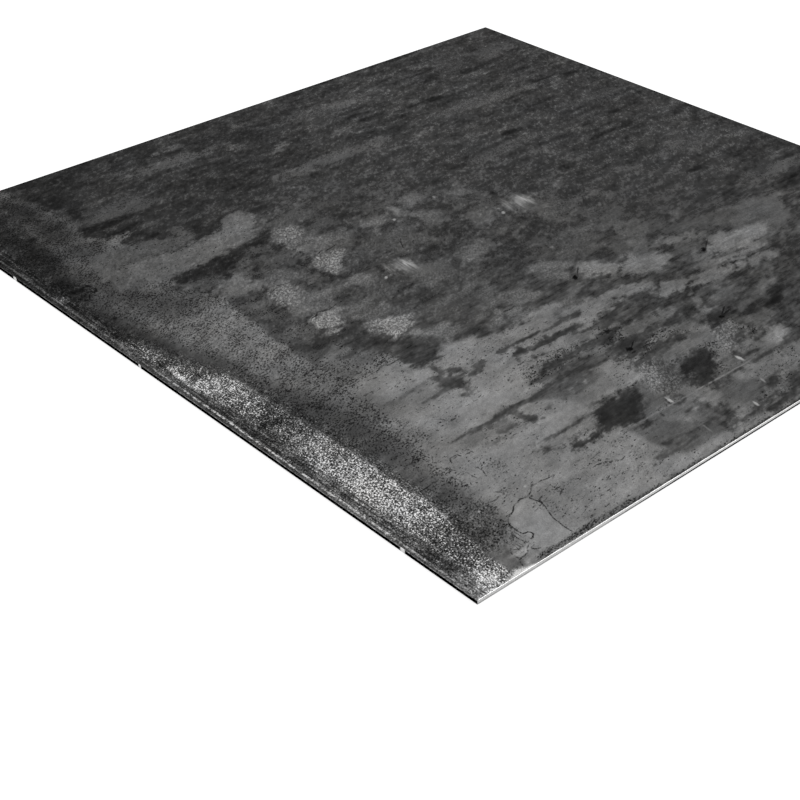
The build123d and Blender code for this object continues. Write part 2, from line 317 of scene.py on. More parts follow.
def streaks(c):
    c.film(E(192, 111, 25, 8, -4), 82, soft=4, w=3.0, rag=1.0, dots=0.1, strk=1.0)
    c.film(E(213, 121, 22, 7, -2), 84, soft=4, w=3.0, rag=1.0, dots=0.1, strk=1.0)
    for shape, tone, w in [
        # upper streak and its lobes
        (S((88, 116.5, .5), (104, 116, .9), (118, 115.5, 1.5), (126, 116, 2.2), (138, 117, 2.8), (152, 117, 2.6), (166, 117, 2.6), (180, 117, 3.2)), 64, 1.5),
        (P((174, 114), (180, 121), (190, 123), (206, 122), (222, 121), (236, 118), (238, 113), (214, 113.5), (196, 115), (184, 113)), 65, 1.6),
        (S((119, 114, 1.6), (121, 109, 1.2)), 78, 1.5), (S((126, 110, 2), (135, 110.5, 2)), 82, 2.0), (S((122, 104, 1.6), (132, 103, 2.2)), 86, 2.2),
        (S((142, 113, 2.8), (144, 106, 2.6), (147, 101, 3.2)), 70, 2.0), (S((118, 98, 1.2), (121, 95, .8), (123, 93, .5)), 84, 1.3),
        (S((106, 97.5, .6), (116, 97, .6)), 92, 1.4), (S((162, 101, 1.8), (166, 103, 1.2)), 92, 2.0), (S((177, 102, .8), (180, 104, 1.2)), 90, 1.6),
        (S((191, 111, 2), (190, 103, 2.0)), 84, 2.0), (S((201, 111, 1.6), (205, 104, 1.6)), 88, 2.0), (S((206, 111.5, 1.2), (218, 111, 1.0)), 80, 1.5),
        (P((176, 129.5), (184, 132), (192, 137.5), (202, 139.5), (216, 139), (226, 137), (232, 140), (246, 139), (256, 139), (268, 141), (267, 136), (262, 131), (246, 130.5), (232, 131), (214, 130.5), (196, 131)), 60, 1.8),
        (S((182, 127, 1.4), (196, 128.5, 1.2), (210, 126, 2.6), (228, 126, 1.0)), 72, 1.8), (S((208, 128, 1.6), (210, 122, 1.6)), 70, 1.8),
        (P((240, 124), (248, 128), (262, 127), (276, 122), (300, 124), (330, 122), (334, 117), (318, 113), (300, 114), (284, 117), (268, 112), (262, 106), (246, 104), (250, 112), (238, 112)), 62, 2.2),
        (P((246, 104.5), (262, 106), (276, 108), (292, 106), (300, 100), (286, 97.5), (262, 98.5), (248, 99)), 62, 2.0),
        (S((238, 98.5, .8), (262, 98, 1.0), (282, 99, 1.0)), 74, 1.4),
        (P((262, 138), (280, 142), (300, 141), (314, 143), (330, 139), (340, 136), (332, 131), (316, 134), (300, 134), (280, 134)), 64, 2.2),
        # thin middle streak
        (S((128, 79, .7), (140, 78.5, 1.5), (152, 78, .9), (160, 79, .9), (172, 79, .8), (182, 79.5, 1.2)), 66, 1.3),
        (S((131, 74, 2.0), (134, 66, 2.5)), 103, 3.0),
        # left ends of the two dark islands
        (P((139, 61), (141, 67), (147, 68.5), (151, 65.5), (157, 64), (162, 67), (167, 64.5), (172, 68), (182, 70), (184, 58), (170, 58.5), (160, 60), (153, 59), (147, 57)), 56, 1.6),
        (P((172, 69), (177, 79), (188, 84.5), (206, 84.5), (220, 84), (221, 78), (217, 71), (211, 63), (203, 55), (193, 53), (181, 56), (174, 60)), 50, 3.6),
        (P((178, 72), (190, 82), (206, 81), (210, 72), (204, 62), (194, 58), (184, 60)), 46, 3.0),
        (P((252, 66), (258, 79), (272, 84.5), (288, 84), (294, 80), (289, 69), (279, 57), (268, 50), (257, 50), (250, 56)), 52, 4.0),
        (P((256, 66), (262, 78), (274, 82), (288, 81), (288, 70), (280, 61), (268, 56), (259, 57)), 46, 3.0),
        (E(153, 63, 10, 4.4, -11), 54, 1.8), (E(129, 72, 3.4, 2.4, -30), 62, 1.6), (E(141, 165, 12, 8.5, -1), 66, 2.0),
        (E(236, 37, 7.1, 5.5, 23), 66, 2.2), (E(199, 21, 6.5, 3.4, 33), 76, 2.4), (E(256, 11.5, 22, 3.4, 1), 74, 3.0),
        # along the bright scratch
        (P((184, 51), (188, 46.5), (194, 45), (200, 47.5), (207, 50.5)), 60, 1.4), (S((213, 50.5, .9), (213, 46, .7)), 66, 1.3), (S((225, 50.5, 1.4), (230, 49.5, 1.2), (236, 51, .8)), 70, 1.4),
        (P((254, 50), (258, 46.5), (266, 44.5), (276, 45.5), (281, 48), (284, 50)), 60, 1.4), (S((286, 49.5, 1.3), (292, 49, 1.2)), 66, 1.4),
        (S((302, 49.5, 1.2), (318, 48.5, 1.8), (330, 49, .8)), 66, 1.5),
        (E(234, 38.5, 6.5, 3.0, -12), 60, 1.8), (S((226, 40.5, 1.0), (240, 37, 1.0)), 72, 1.6),
        (P((234, 15), (240, 24), (245, 31), (250, 32), (251, 26), (250, 20), (243, 16)), 58, 2.2),
        (S((186, 25.5, 1.6), (194, 25.5, 1.6), (204, 24.3, 1.0), (217, 24.6, .8)), 60, 1.4),
        (S((171, 20, 2.2), (180, 19, 2.4), (188, 20, 1.0), (208, 19.5, 1.0)), 78, 1.8), (S((222, 22, 1.6), (228, 26, 1.4), (232, 22, 1.6), (230, 16, 1.4)), 72, 1.6),
        (S((268, 17, 1.0), (278, 16.5, 1.5), (288, 18, 2.0)), 46, 1.4), (S((266, 7, 2.0), (280, 8.5, 2.0), (290, 10, 3)), 58, 1.8),
        (E(290, 23, 12, 4, 25), 60, 3.0),
        (E(302, 61, 4, 2.4), 66, 1.8), (S((300, 57, 1.4), (310, 58, 2), (316, 56, 1.5)), 64, 1.6),
        # under the upper edge of the film
        (S((183, 169.5, 1.2), (192, 169.5, 1.7), (205, 170, 1.4), (214, 170.5, 1.4), (228, 169.5, .9), (240, 169.5, 1.0), (256, 169.8, 1.9), (264, 169.3, 2.0), (268, 169.5, .7)), 60, 1.3),
        (S((190, 158.5, 1.8), (199, 160, 3.2), (201, 165, 1.4)), 64, 1.6), (S((205, 158, 2.0), (212, 158, 1.8)), 62, 1.5), (S((217, 158.5, 2.8), (226, 158, 3.4), (236, 157, 2.6)), 68, 1.7), (S((238, 156.8, 2.0), (252, 157.5, 2.6), (258, 158, 1.4)), 62, 1.6),
        (P((262, 150), (270, 155), (278, 158), (300, 160), (320, 158), (334, 158), (330, 153), (318, 150), (300, 149), (282, 149)), 61, 2.2),
        (S((240, 152, 1.4), (250, 150, 1.6), (262, 149, 1.2)), 74, 1.6), (S((262, 144, 2), (276, 147, 1.2), (296, 146, 2)), 64, 1.8),
        (S((197, 150.5, 1.4), (198.5, 149, 1.2)), 88, 1.4), (E(209, 148.5, 1.8, 1.2, 30), 88, 1.4), (S((188, 152, 1.0), (190, 156, .8)), 92, 1.4), (E(227, 181.5, 2.0, 1.6), 94, 1.5),
        (S((193, 182.5, .6), (200, 184, .7)), 92, 1.3), (S((262, 177.5, 1.0), (266, 181, 1.3)), 74, 1.4), (S((250, 176.5, .8), (258, 178, .7)), 86, 1.4),
        (S((128, 176, 1.4), (136, 173, 3.2), (139, 168, 4.0), (136, 162, 2.6)), 68, 1.9), (S((140, 174, 2.2), (140.5, 182, 1.7), (141.5, 189, 1.2)), 74, 1.5),
        (S((88, 173, .6), (104, 173.6, .8), (122, 174.6, 1.2)), 86, 1.6), (S((107, 158.5, .7), (120, 158.7, 1.1), (130, 160, 2.0)), 78, 1.5), (S((140, 160, 2.4), (140, 150, 1.0)), 74, 1.8),
        (S((143, 168, 2.6), (148, 174, 3.2), (154, 171, 2.0)), 68, 1.8), (P((153, 161), (157, 158.5), (163, 162), (167, 166), (171, 170), (165, 172), (160, 168), (155, 165)), 70, 1.7), (E(148, 165, 3, 2), 80, 1.8),
        (S((133, 147, 2.4), (137, 146, 1.6)), 78, 1.8), (E(139, 150, 3, 2.2), 88, 2.0),
        # beyond
        (S((288, 181, 2.2), (296, 181.5, 2.2), (304, 180, 1.4), (314, 180, 2.6), (326, 180.5, 2.8), (332, 178, 1.6)), 62, 1.6), (S((294, 192, 1.2), (306, 191.5, 1.4), (325, 191.5, 1.2)), 68, 1.4),
        (S((308, 186, 1.1), (314, 184, 1.1)), 74, 1.4), (S((328, 170.5, 1.2), (336, 171, 1.3), (344, 173, .9)), 66, 1.4), (S((284, 178, 1.2), (292, 178, 1)), 70, 1.4),
        (S((316, 134.5, .9), (328, 134.5, 1.0), (338, 135.2, 1.4), (346, 135.2, .9), (356, 134, 1.0), (364, 133, 1.4)), 50, 1.2), (S((344, 139, .8), (356, 141, .9), (363, 144, 1.3)), 62, 1.3), (S((320, 130, 1.2), (334, 129.5, 1.6)), 66, 1.6),
        (E(392, 129, 8, 3.6, 8), 50, 3.0), (S((398, 132, 1), (408, 132, .9)), 62, 1.4), (S((392, 145, 1.4), (402, 142, 1.2), (420, 141, 1.2), (434, 140.5, 1.0), (442, 140.5, 2.0), (454, 141, 2.0)), 60, 1.5), (E(422, 152.5, 2.4, 1.2), 84, 1.5),
        (S((396, 156, 1.4), (406, 155.5, 1.2)), 68, 1.4), (S((362, 154, 1.2), (376, 152, 1.2)), 66, 1.5), (S((376, 158, 1.6), (388, 160, 1.2)), 70, 1.6),
        (P((316, 94), (320, 106), (330, 108), (340, 104), (350, 100), (348, 95), (330, 92)), 56, 3.0), (S((352, 90, 4), (368, 92, 5), (386, 96, 5), (396, 98, 4)), 56, 3.0), (S((346, 110, 4), (360, 108, 2), (384, 112, 2)), 70, 3.0),
        (E(330, 76, 9, 4, 10), 70, 2.4), (S((312, 66.5, 1.0), (326, 66.5, 1.2), (340, 67, 1.0)), 72, 1.4), (E(372, 74, 8, 6, 30), 58, 3.0),
        (S((402, 120, 4), (420, 128, 3)), 68, 2.4), (S((348, 124, 2), (372, 126, 2), (386, 122, 3)), 68, 2.2),
        (E(317, 204, 1.8, 1.2, 20), 84, 1.4), (E(294, 167, 1.6, 1.2, 30), 80, 1.4), (E(300, 224, 4, 1.4, 10), 60, 1.6),
        (P((350, 158), (362, 168), (356, 178), (366, 190), (380, 204), (392, 212), (404, 208), (396, 200), (388, 190), (384, 174), (378, 166), (366, 160)), 66, 3.0),
    ]:
        c.scale(shape, tone, soft=3.0, w=w)


def middle(c):
    """Dark scale and pale granular patches beside the left band."""
    for shape, tone, w in [
        (P((86, 240), (88, 300), (92, 335), (96, 352), (90, 368), (84, 384), (96, 384), (112, 380), (130, 384), (140, 392), (160, 396), (174, 398),
           (174, 372), (170, 350), (166, 326), (142, 318), (126, 300), (124, 270), (118, 256), (108, 250)), 78, 3.4),
        (E(102, 281, 8, 6), 90, 3.0), (E(97, 306, 5, 5), 92, 3.0), (E(104, 325, 8, 5, 20), 90, 3.0), (E(155, 366, 8, 5, 30), 72, 3.0), (E(128, 362, 7, 5), 84, 2.6),
        (E(116, 227, 12, 6), 92, 3.0), (E(138, 288, 12, 5, 10), 80, 2.6),
    ]:
        c.film(shape, tone, soft=4, w=w, dots=0.5, strk=0.3)
    for shape, tone, w in [
        (P((88, 272), (87, 262), (92, 255), (97, 251), (112, 252.5), (119, 256), (128, 256), (136, 260), (144, 262), (150, 268), (146, 274), (138, 270), (128, 264), (120, 262), (119, 270), (117, 275), (109, 274), (106, 268), (100, 273), (92, 275)), 56, 2.2),
        (P((126, 236), (128, 243), (136, 244), (140, 240), (144, 232), (152, 229), (164, 232), (164, 214), (160, 206), (158, 199), (146, 192), (141, 190), (132, 196), (131, 204), (134, 214), (148, 222), (138, 228), (130, 229)), 60, 2.0),
        (S((104, 234, 1.6), (110, 232.5, 2.4), (116, 236, 2.6), (121, 237, 1.2)), 62, 2.0), (S((113, 231, 1.6), (114, 226, .8)), 66, 1.6),
        (P((90, 302), (91, 296), (95, 290), (101, 288), (104, 292), (100, 300), (104, 306), (96, 312), (88, 308)), 58, 2.4),
        (P((104, 300), (112, 302), (120, 296), (123, 293), (117, 288), (114, 283), (111, 286), (113, 293)), 52, 2.0),
        (S((113, 317, 3.2), (114, 311, 3.4)), 54, 1.8), (E(100, 342, 4, 5), 64, 2.4), (P((108, 346), (114, 346), (118, 341), (123, 343), (122, 339), (117, 336), (113, 330), (109, 333), (111, 340)), 56, 1.9),
        (S((86.5, 365.5, 1.4), (91, 367, 2.0), (96, 369, 1.6), (100, 371, .9)), 54, 1.5), (E(103, 366, 3, 1.6, 10), 74, 1.8),
        (P((74, 387), (80, 393), (83, 398), (90, 400), (100, 402), (118, 404), (135, 404), (142, 406), (150, 404), (166, 407), (178, 410), (174, 400), (164, 396), (150, 396), (140, 393), (132, 388), (128, 382), (122, 381), (119, 372),
           (112, 371), (109, 376), (115, 383), (108, 388), (98, 384), (86, 385)), 44, 1.7),
        (P((104, 437), (108, 441), (113, 440), (117, 436), (121, 440), (126, 438), (140, 436), (160, 437), (160, 434.6), (126, 434.5), (118, 434), (114, 431.5), (108, 435)), 50, 1.5),
        (P((130, 437), (133, 446), (136, 462), (134, 470), (140, 470), (168, 462), (166, 446), (160, 437)), 52, 2.2),
        (P((74, 508), (84, 508), (98, 507.5), (112, 506), (126, 504), (140, 504), (142, 501), (122, 500), (100, 499), (84, 497), (76, 500)), 38, 2.0),
        (P((76, 496), (84, 495), (94, 490), (104, 486), (100, 481), (88, 482), (82, 488)), 42, 2.2), (P((84, 472), (94, 474), (106, 476), (112, 468), (122, 464), (122, 455), (112, 456), (106, 464), (96, 463), (86, 465)), 42, 2.0),
        (P((79, 528), (81, 538), (86, 542), (92, 541), (96, 538), (90, 535), (88, 529), (84, 526)), 34, 2.8), (P((71, 574), (76, 582), (84, 584), (90, 578), (84, 572), (76, 570)), 24, 2.8),
        (P((71, 556), (78, 560), (90, 562), (100, 560), (88, 556), (84, 548), (79, 548), (79, 554)), 34, 2.2), (E(84, 562, 8, 10), 38, 4.0),
        (E(169, 385, 4, 5), 50, 1.8), (P((163, 356), (166, 364), (173, 367), (181, 364), (176, 358), (174, 352), (168, 350)), 52, 1.9), (E(168, 334, 4, 4.5), 52, 2.0), (S((146, 322, 2.2), (160, 319, 2.6), (170, 324, 2.4), (176, 320, 2)), 54, 2.0),
        (S((148, 366, 2.2), (156, 360, 2.2), (161, 352, 1.8)), 56, 1.9), (S((128, 376, 2), (138, 370, 2.4), (146, 374, 2)), 58, 2.0), (S((125, 362, 1), (133, 358, 1.6), (140, 366, 1.4)), 66, 1.6), (E(146, 331, 3, 5), 62, 2.2), (E(152, 386, 5, 3), 54, 2.2),
    ]:
        c.scale(shape, tone, soft=3.5, w=w)

    # pale streaks of the upper left
    for shape, tone, w in [
        (P((44, 408), (48, 446), (58, 464), (84, 463), (104, 460), (110, 452), (122, 452), (128, 462), (132, 468), (135, 462), (134, 452), (131, 438),
           (118, 434), (112, 430), (106, 436), (84, 436), (80, 404)), 89, 2.2),
        (P((70, 404), (84, 402.5), (98, 402), (118, 404.5), (135, 405), (142, 407), (150, 405.5), (160, 408), (170, 411), (175, 416), (178, 424), (181, 429), (188, 438), (188, 447), (183, 454), (174, 455), (166, 450), (161, 443), (158, 437), (126, 434.5), (113, 430), (104, 434), (70, 436)), 104, 1.7),
        (P((82, 510), (84, 520), (92, 530), (98, 526), (114, 526), (124, 534), (130, 541), (137, 533), (140, 522), (149, 516), (149, 509), (142, 504), (128, 505), (112, 508), (96, 510)), 80, 2.4),
        (E(96, 548, 7, 8, 60), 52, 3.0),
    ]:
        c.film(shape, tone, soft=4, w=w, dots=0.35, strk=0.3)
    c.shade(E(92, 418, 24, 12), 96, 8, .8, only="light")
    c.shade(E(150, 424, 26, 8), 114, 6, .8, only="light")
    c.shade(E(177, 436, 15, 9, 40), 120, 4, .8, only="light")
    c.shade(E(107, 516, 20, 6), 84, 5, .7, only="light")
    c.shade(P((112, 456), (104, 470), (118, 484), (122, 500), (148, 502), (152, 512), (136, 536), (118, 542), (100, 560), (92, 600), (78, 620), (320, 620), (300, 480), (200, 450), (140, 440)), 54, 26, .8, only="dark")
    c.shade(E(96, 590, 26, 26), 46, 12, .8)
    c.shade(E(84, 560, 16, 36), 50, 12, .5)
    # clean dark scale between the pale patches
    for shape, tone in ((E(275, 322, 22, 15, -41), 58), (E(292, 261, 30, 17, 43), 59), (E(258, 308, 16, 12, -41), 60), (E(333, 282, 20, 17, -23), 59),
                        (E(228, 390, 30, 18, 51), 57), (E(208, 316, 18, 10, -1), 60), (E(418, 244, 30, 16, -39), 62)):
        c.shade(shape, tone, 9, .85, only="dark")
    c.shade(S((84, 480, 8), (104, 484, 10)), 40, 8, .8, only="dark")

    # granular patches
    for shape, tone, w, g in [
        (P((117, 268), (118, 284), (121, 290), (128, 294), (140, 289), (146, 284), (146, 276), (138, 270), (130, 264), (124, 259), (118, 261)), 122, 1.7, 1),
        (P((140, 249), (146, 258), (151, 264), (157, 257), (165, 254), (172, 249), (183, 246), (178, 242), (170, 237), (160, 233), (150, 228), (147, 234), (146, 242), (142, 245)), 126, 1.6, 1),
        (P((118, 322), (120, 334), (124, 341), (130, 340), (137, 337), (142, 328), (140, 316), (134, 309), (124, 305), (117, 306), (118, 314)), 114, 1.8, 1),
        (P((116, 300), (122, 306), (134, 310), (148, 311), (162, 314), (158, 306), (150, 298), (140, 293), (130, 291), (120, 294)), 100, 2.4, .2),
        (P((94, 364), (100, 370), (113, 370.5), (122, 374), (124, 369), (124, 360), (132, 352), (142, 348), (139, 341), (128, 342), (122, 347), (108, 348), (98, 350)), 104, 2.2, .2),
        (P((174, 394), (178, 404), (186, 410), (194, 410), (202, 404), (201, 396), (198, 388), (188, 380), (180, 377), (175, 379), (176, 386)), 114, 1.8, 1),
        (P((172, 368), (178, 376), (190, 378), (200, 383), (206, 378), (202, 368), (197, 360), (190, 361), (184, 357.5), (181, 364)), 114, 2.0, .5),
        (P((174, 351), (176, 359), (183, 357), (190, 359), (197, 356), (204, 351), (200, 343), (192, 337), (182, 329), (173, 326), (174, 336), (172, 344)), 124, 1.6, 1),
        (E(147, 350, 6, 8, 10), 94, 2.4, .3), (E(156, 378, 9, 8, 30), 84, 3.0, .3), (E(154, 336, 9, 7, 20), 88, 2.6, .5), (E(143, 360, 5, 4), 92, 2.0, .9), (E(101, 267, 5, 5), 82, 2.2, .5), (E(133, 377, 4, 4, 40), 88, 2.0, .7),
        (P((226, 70), (232, 78), (238, 88), (240, 94), (244, 98), (256, 98), (258, 92), (250, 86), (246, 78), (240, 73), (230, 67)), 112, 1.9, 1),
        (P((250, 82), (248, 74), (244, 66), (250, 58), (257, 62), (256, 74), (260, 84), (262, 92), (256, 92)), 82, 2.4, .9),
        (P((300, 70), (308, 78), (314, 90), (322, 92), (330, 88), (326, 80), (320, 76), (310, 70), (302, 68)), 108, 2.0, 1), (E(235, 64, 4, 5), 92, 2.0, .8), (E(245, 66, 6, 5, 30), 84, 2.2, 1),
        (E(322, 74, 7, 4, 20), 92, 2.2, .9),
    ]:
        c.film(shape, tone, soft=6.0, w=1.8 * w, rag=2.2, gran=g, dots=0.1, strk=0.3)
    for cv, cu, rv, ru, deg, tone, w in [
        (156, 274, 12, 4.5, 12, 92, 2.4), (166, 279, 6, 3.5, 0, 98, 2.0), (156, 266, 13, 6, -10, 84, 3.0), (171, 270, 4, 3, 0, 94, 2.0), (144, 283, 5, 7, 10, 110, 2.0),
        (163, 224, 5, 4, 0, 112, 1.8), (172, 219, 8, 3.4, 0, 94, 2.0), (184, 219, 6, 4, -10, 96, 2.0), (178, 211, 13, 5, 0, 90, 2.6), (192, 211, 3.5, 2.2, 0, 96, 1.8), (171, 203, 4, 3, 0, 96, 2.4),
        (249, 217, 6.5, 3, 10, 98, 2.0), (246, 210, 11, 5.5, -10, 84, 3.0), (260, 208, 4, 2.6, 0, 96, 1.8), (222, 207, 2.6, 8, -12, 98, 2.0), (219, 218, 5, 1.6, 50, 84, 1.8), (232, 221, 6, 1.8, 45, 88, 1.8), (240, 234, 2.4, 7, -30, 88, 1.8), (242, 224, 3, 2.2, 30, 96, 1.8),
        (232, 200, 10, 5, 10, 92, 2.2), (213, 196, 10, 3, 10, 88, 2.0), (216, 200, 4, 3, 40, 92, 2.0), (243, 197, 3, 4, 0, 84, 2.0),
        (267, 284, 4.5, 4.5, 0, 108, 1.8), (277, 279, 8, 3.4, 15, 98, 2.0), (268, 272, 5, 5, 0, 82, 2.6), (290, 284, 2, 5.5, -35, 100, 1.8), (275, 286, 3, 3, 0, 84, 2.0),
        (288, 234, 5, 4, 0, 104, 2.0), (297, 228, 8, 3, 8, 96, 2.0), (304, 228, 4, 2.4, 0, 98, 1.8), (292, 218, 10, 6, 20, 86, 3.0), (295, 210, 5, 5, 40, 98, 2.0), (308, 222, 8, 3.4, 0, 90, 2.4),
        (244, 373, 4.6, 4.2, 0, 112, 2.0), (250, 367, 8, 4.6, -5, 94, 2.4), (257, 371, 3, 4, 20, 90, 2.0), (241, 358, 2.2, 4, -40, 84, 1.8),
        (282, 352, 4.2, 4.4, 0, 112, 2.0), (291, 346, 6, 6, -30, 92, 2.6), (284, 338, 6, 4, 30, 80, 2.6), (296, 334, 2.4, 6, -30, 84, 2.0), (290, 356, 3, 3, 0, 86, 2.0),
        (181, 310, 4.4, 3.8, 0, 98, 2.0), (188, 305, 6, 4, -10, 88, 2.4), (182, 300, 6, 4, 0, 76, 2.6), (165, 290, 7, 3, 40, 72, 2.6),
        (218, 339, 10, 2.6, 4, 84, 2.0), (227, 338, 3.4, 2.4, 0, 94, 1.8), (206, 342, 5, 2, -30, 84, 1.8), (212, 367, 12, 10, 20, 80, 4.0), (222, 376, 4, 3, 0, 78, 2.6),
        (404, 176, 2, 1.2, 0, 78, 1.4), (246, 438, 3, 4.5, 35, 84, 2.0), (239, 440, 3, 3, 30, 84, 2.0), (221, 441, 3, 2, 30, 84, 1.8), (279, 405, 6, 2.5, 20, 84, 2.0), (252, 394, 2, 1.6, 0, 76, 1.6),
        (232, 417, 16, 3, 5, 74, 2.4), (212, 418, 12, 2.6, 10, 74, 2.4), (221, 411, 8, 4, 0, 74, 3.0), (290, 372, 10, 4, 30, 84, 2.4), (298, 380, 10, 7, 20, 92, 2.6), (286, 389, 6, 2, 20, 80, 2.0), (334, 362, 12, 4, -40, 86, 3.0), (325, 352, 5, 3, -30, 74, 2.4),
        (376, 296, 11, 9, -20, 80, 4.0), (360, 288, 8, 8, 10, 84, 3.0), (364, 278, 5, 12, 0, 74, 3.4), (384, 302, 3, 5, -20, 84, 2.4), (367, 298, 2.4, 2, 0, 96, 1.6),
        (345, 256, 16, 3.4, 0, 78, 2.6), (364, 250, 6, 3.4, 0, 88, 2.2), (369, 246, 3, 1.6, 20, 90, 1.6), (386, 240, 10, 3.4, 40, 86, 2.2), (384, 229, 7, 3.4, 30, 88, 2.2), (372, 224, 9, 2.4, 30, 84, 2.0), (377, 232, 5, 2, 30, 88, 1.8),
        (356, 222, 3, 5, 10, 86, 2.0), (394, 222, 10, 4, 25, 82, 2.6), (405, 256, 2, 3, -30, 84, 1.8), (376, 278, 7, 2.4, 30, 80, 2.0), (388, 268, 6, 3, 20, 74, 2.4), (395, 252, 5, 2, 20, 78, 2.0),
        (421, 279, 6, 5, 0, 84, 3.0), (412, 288, 4, 4, -30, 84, 2.4), (316, 278, 3, 9, -30, 78, 2.2), (313, 292, 4, 1.6, 30, 78, 1.8), (325, 257, 3, 3.6, 0, 76, 2.0), (432, 222, 5, 5, 0, 82, 2.6), (414, 222, 5, 3, 40, 74, 2.4),
        (437, 246, 9, 3, 10, 74, 2.4), (452, 190, 14, 7, 20, 74, 3.0), (462, 200, 10, 5, 10, 80, 2.6), (480, 178, 14, 5, 10, 78, 3.0), (298, 250, 5, 2, 0, 78, 2.0), (308, 252, 4, 3, 40, 72, 2.0),
        (210, 244.5, 18, 2.2, 0, 86, 2.0), (226, 241, 3, 2, 0, 92, 1.6), (232, 245, 8, 1.8, 0, 82, 1.8), (234, 265, 3, 1.8, 30, 90, 1.6), (242, 266, 3, 1.6, 45, 84, 1.6), (246, 248, 6, 2, 30, 80, 1.8), (256, 250, 3, 2, 50, 76, 1.8),
        (219, 272, 5, 9, 0, 92, 3.0), (229, 272, 6, 12, 10, 80, 4.0), (238, 282, 6, 6, 30, 78, 3.0), (246, 288, 4, 3, 50, 78, 2.0), (228, 284, 2, 3, 0, 92, 1.8),
        (257, 326, 8, 9, 30, 78, 3.4), (262, 318, 4, 5, 30, 80, 2.4), (247, 332, 8, 2.2, 45, 86, 1.8), (236, 316, 2, 3, 0, 82, 1.8), (250, 345, 10, 5, 0, 74, 3.0), (235, 332, 2.4, 4, -30, 80, 2.0),
        (196, 415, 6, 3.4, 40, 84, 2.2), (205, 420, 8, 2.4, 5, 76, 2.2), (178, 402, 3, 3, 0, 82, 2.0), (209, 390, 6, 5, 20, 68, 3.0), (266, 385, 5, 3, 0, 72, 2.6),
        (206, 232, 12, 3, 0, 76, 2.4), (200, 226, 8, 2, 0, 74, 2.2), (210, 211, 7, 2.2, 0, 80, 2.0), (191, 238, 5, 2, 10, 74, 2.0), (300, 240, 7, 2, 20, 70, 2.2), (330, 240, 12, 3, 5, 74, 2.6), (350, 240, 9, 2.6, 0, 76, 2.4), (340, 226, 10, 3, 10, 76, 2.6),
        (322, 231, 8, 2, 10, 72, 2.2), (176, 292, 4, 3, 0, 72, 2.4), (190, 284, 6, 3, 10, 68, 2.6), (172, 256, 4, 3, 30, 82, 2.0), (180, 252, 5, 2, 0, 84, 1.8), (186, 248, 3, 1.6, 0, 78, 1.6), (160, 214, 4, 6, 0, 64, 3.0),
    ]:
        c.film(E(cv, cu, rv * 1.08, ru * 1.08, deg), tone + 10, soft=3.0, w=1.3 * w, rag=0.9, gran=0.5, dots=0.0, gain=2.0)

    for cv, cu, rv, ru, deg, tone, w in [
        (300, 230, 15.9, 5.6, -20, 100, 2.2), (324, 201, 15.1, 8.3, -18, 122, 2.4), (349, 185, 13.9, 10.8, 29, 118, 2.6), (363, 201, 12.5, 4.6, -9, 104, 2.2), (395, 195, 8.7, 4.8, -10, 112, 2.2),
        (376, 245, 13.8, 3.9, -3, 88, 2.4), (390, 224, 11.8, 9.7, 25, 84, 3.5), (371, 291, 15.6, 10.9, 39, 80, 4), (335, 231, 13.6, 6.0, 3, 80, 3.5), (252, 215, 8.4, 5.3, -16, 100, 2.4),
        (246, 370, 10.2, 6.4, -17, 98, 2.4), (275, 370, 8.0, 4.0, 87, 98, 2.2), (294, 377, 11.3, 6.9, -26, 98, 2.6), (284, 348, 9.9, 5.1, -69, 100, 2.4), (287, 338, 6.7, 6.2, 41, 84, 3),
        (315, 321, 10.2, 8.5, 40, 102, 2.6), (271, 284, 9.9, 6.3, -8, 96, 2.4), (289, 285, 6.4, 2.6, 45, 90, 2.4), (222, 337, 11.8, 5.6, -6, 84, 3), (230, 280, 14.6, 13.5, -36, 82, 4),
        (249, 336, 7.8, 6.2, -16, 80, 3.2), (186, 307, 10.3, 7.3, -25, 98, 2.6), (182, 284, 10.5, 5.4, -17, 84, 3), (250, 217, 7.4, 5.4, -19, 104, 2.4), (235, 231, 8.5, 7.1, -36, 80, 3),
    ]:
        c.film(E(cv, cu, rv, ru, deg), tone + 5, soft=4.0, w=1.3 * w, rag=1.0, gran=0.5, dots=0.0, strk=0.5, gain=2.0)

    c.film(E(477, 176, 38, 24, 28), 92, soft=8, w=5.0, rag=1.0, gran=0.2, dots=0.0, strk=1.0, gain=1.5)
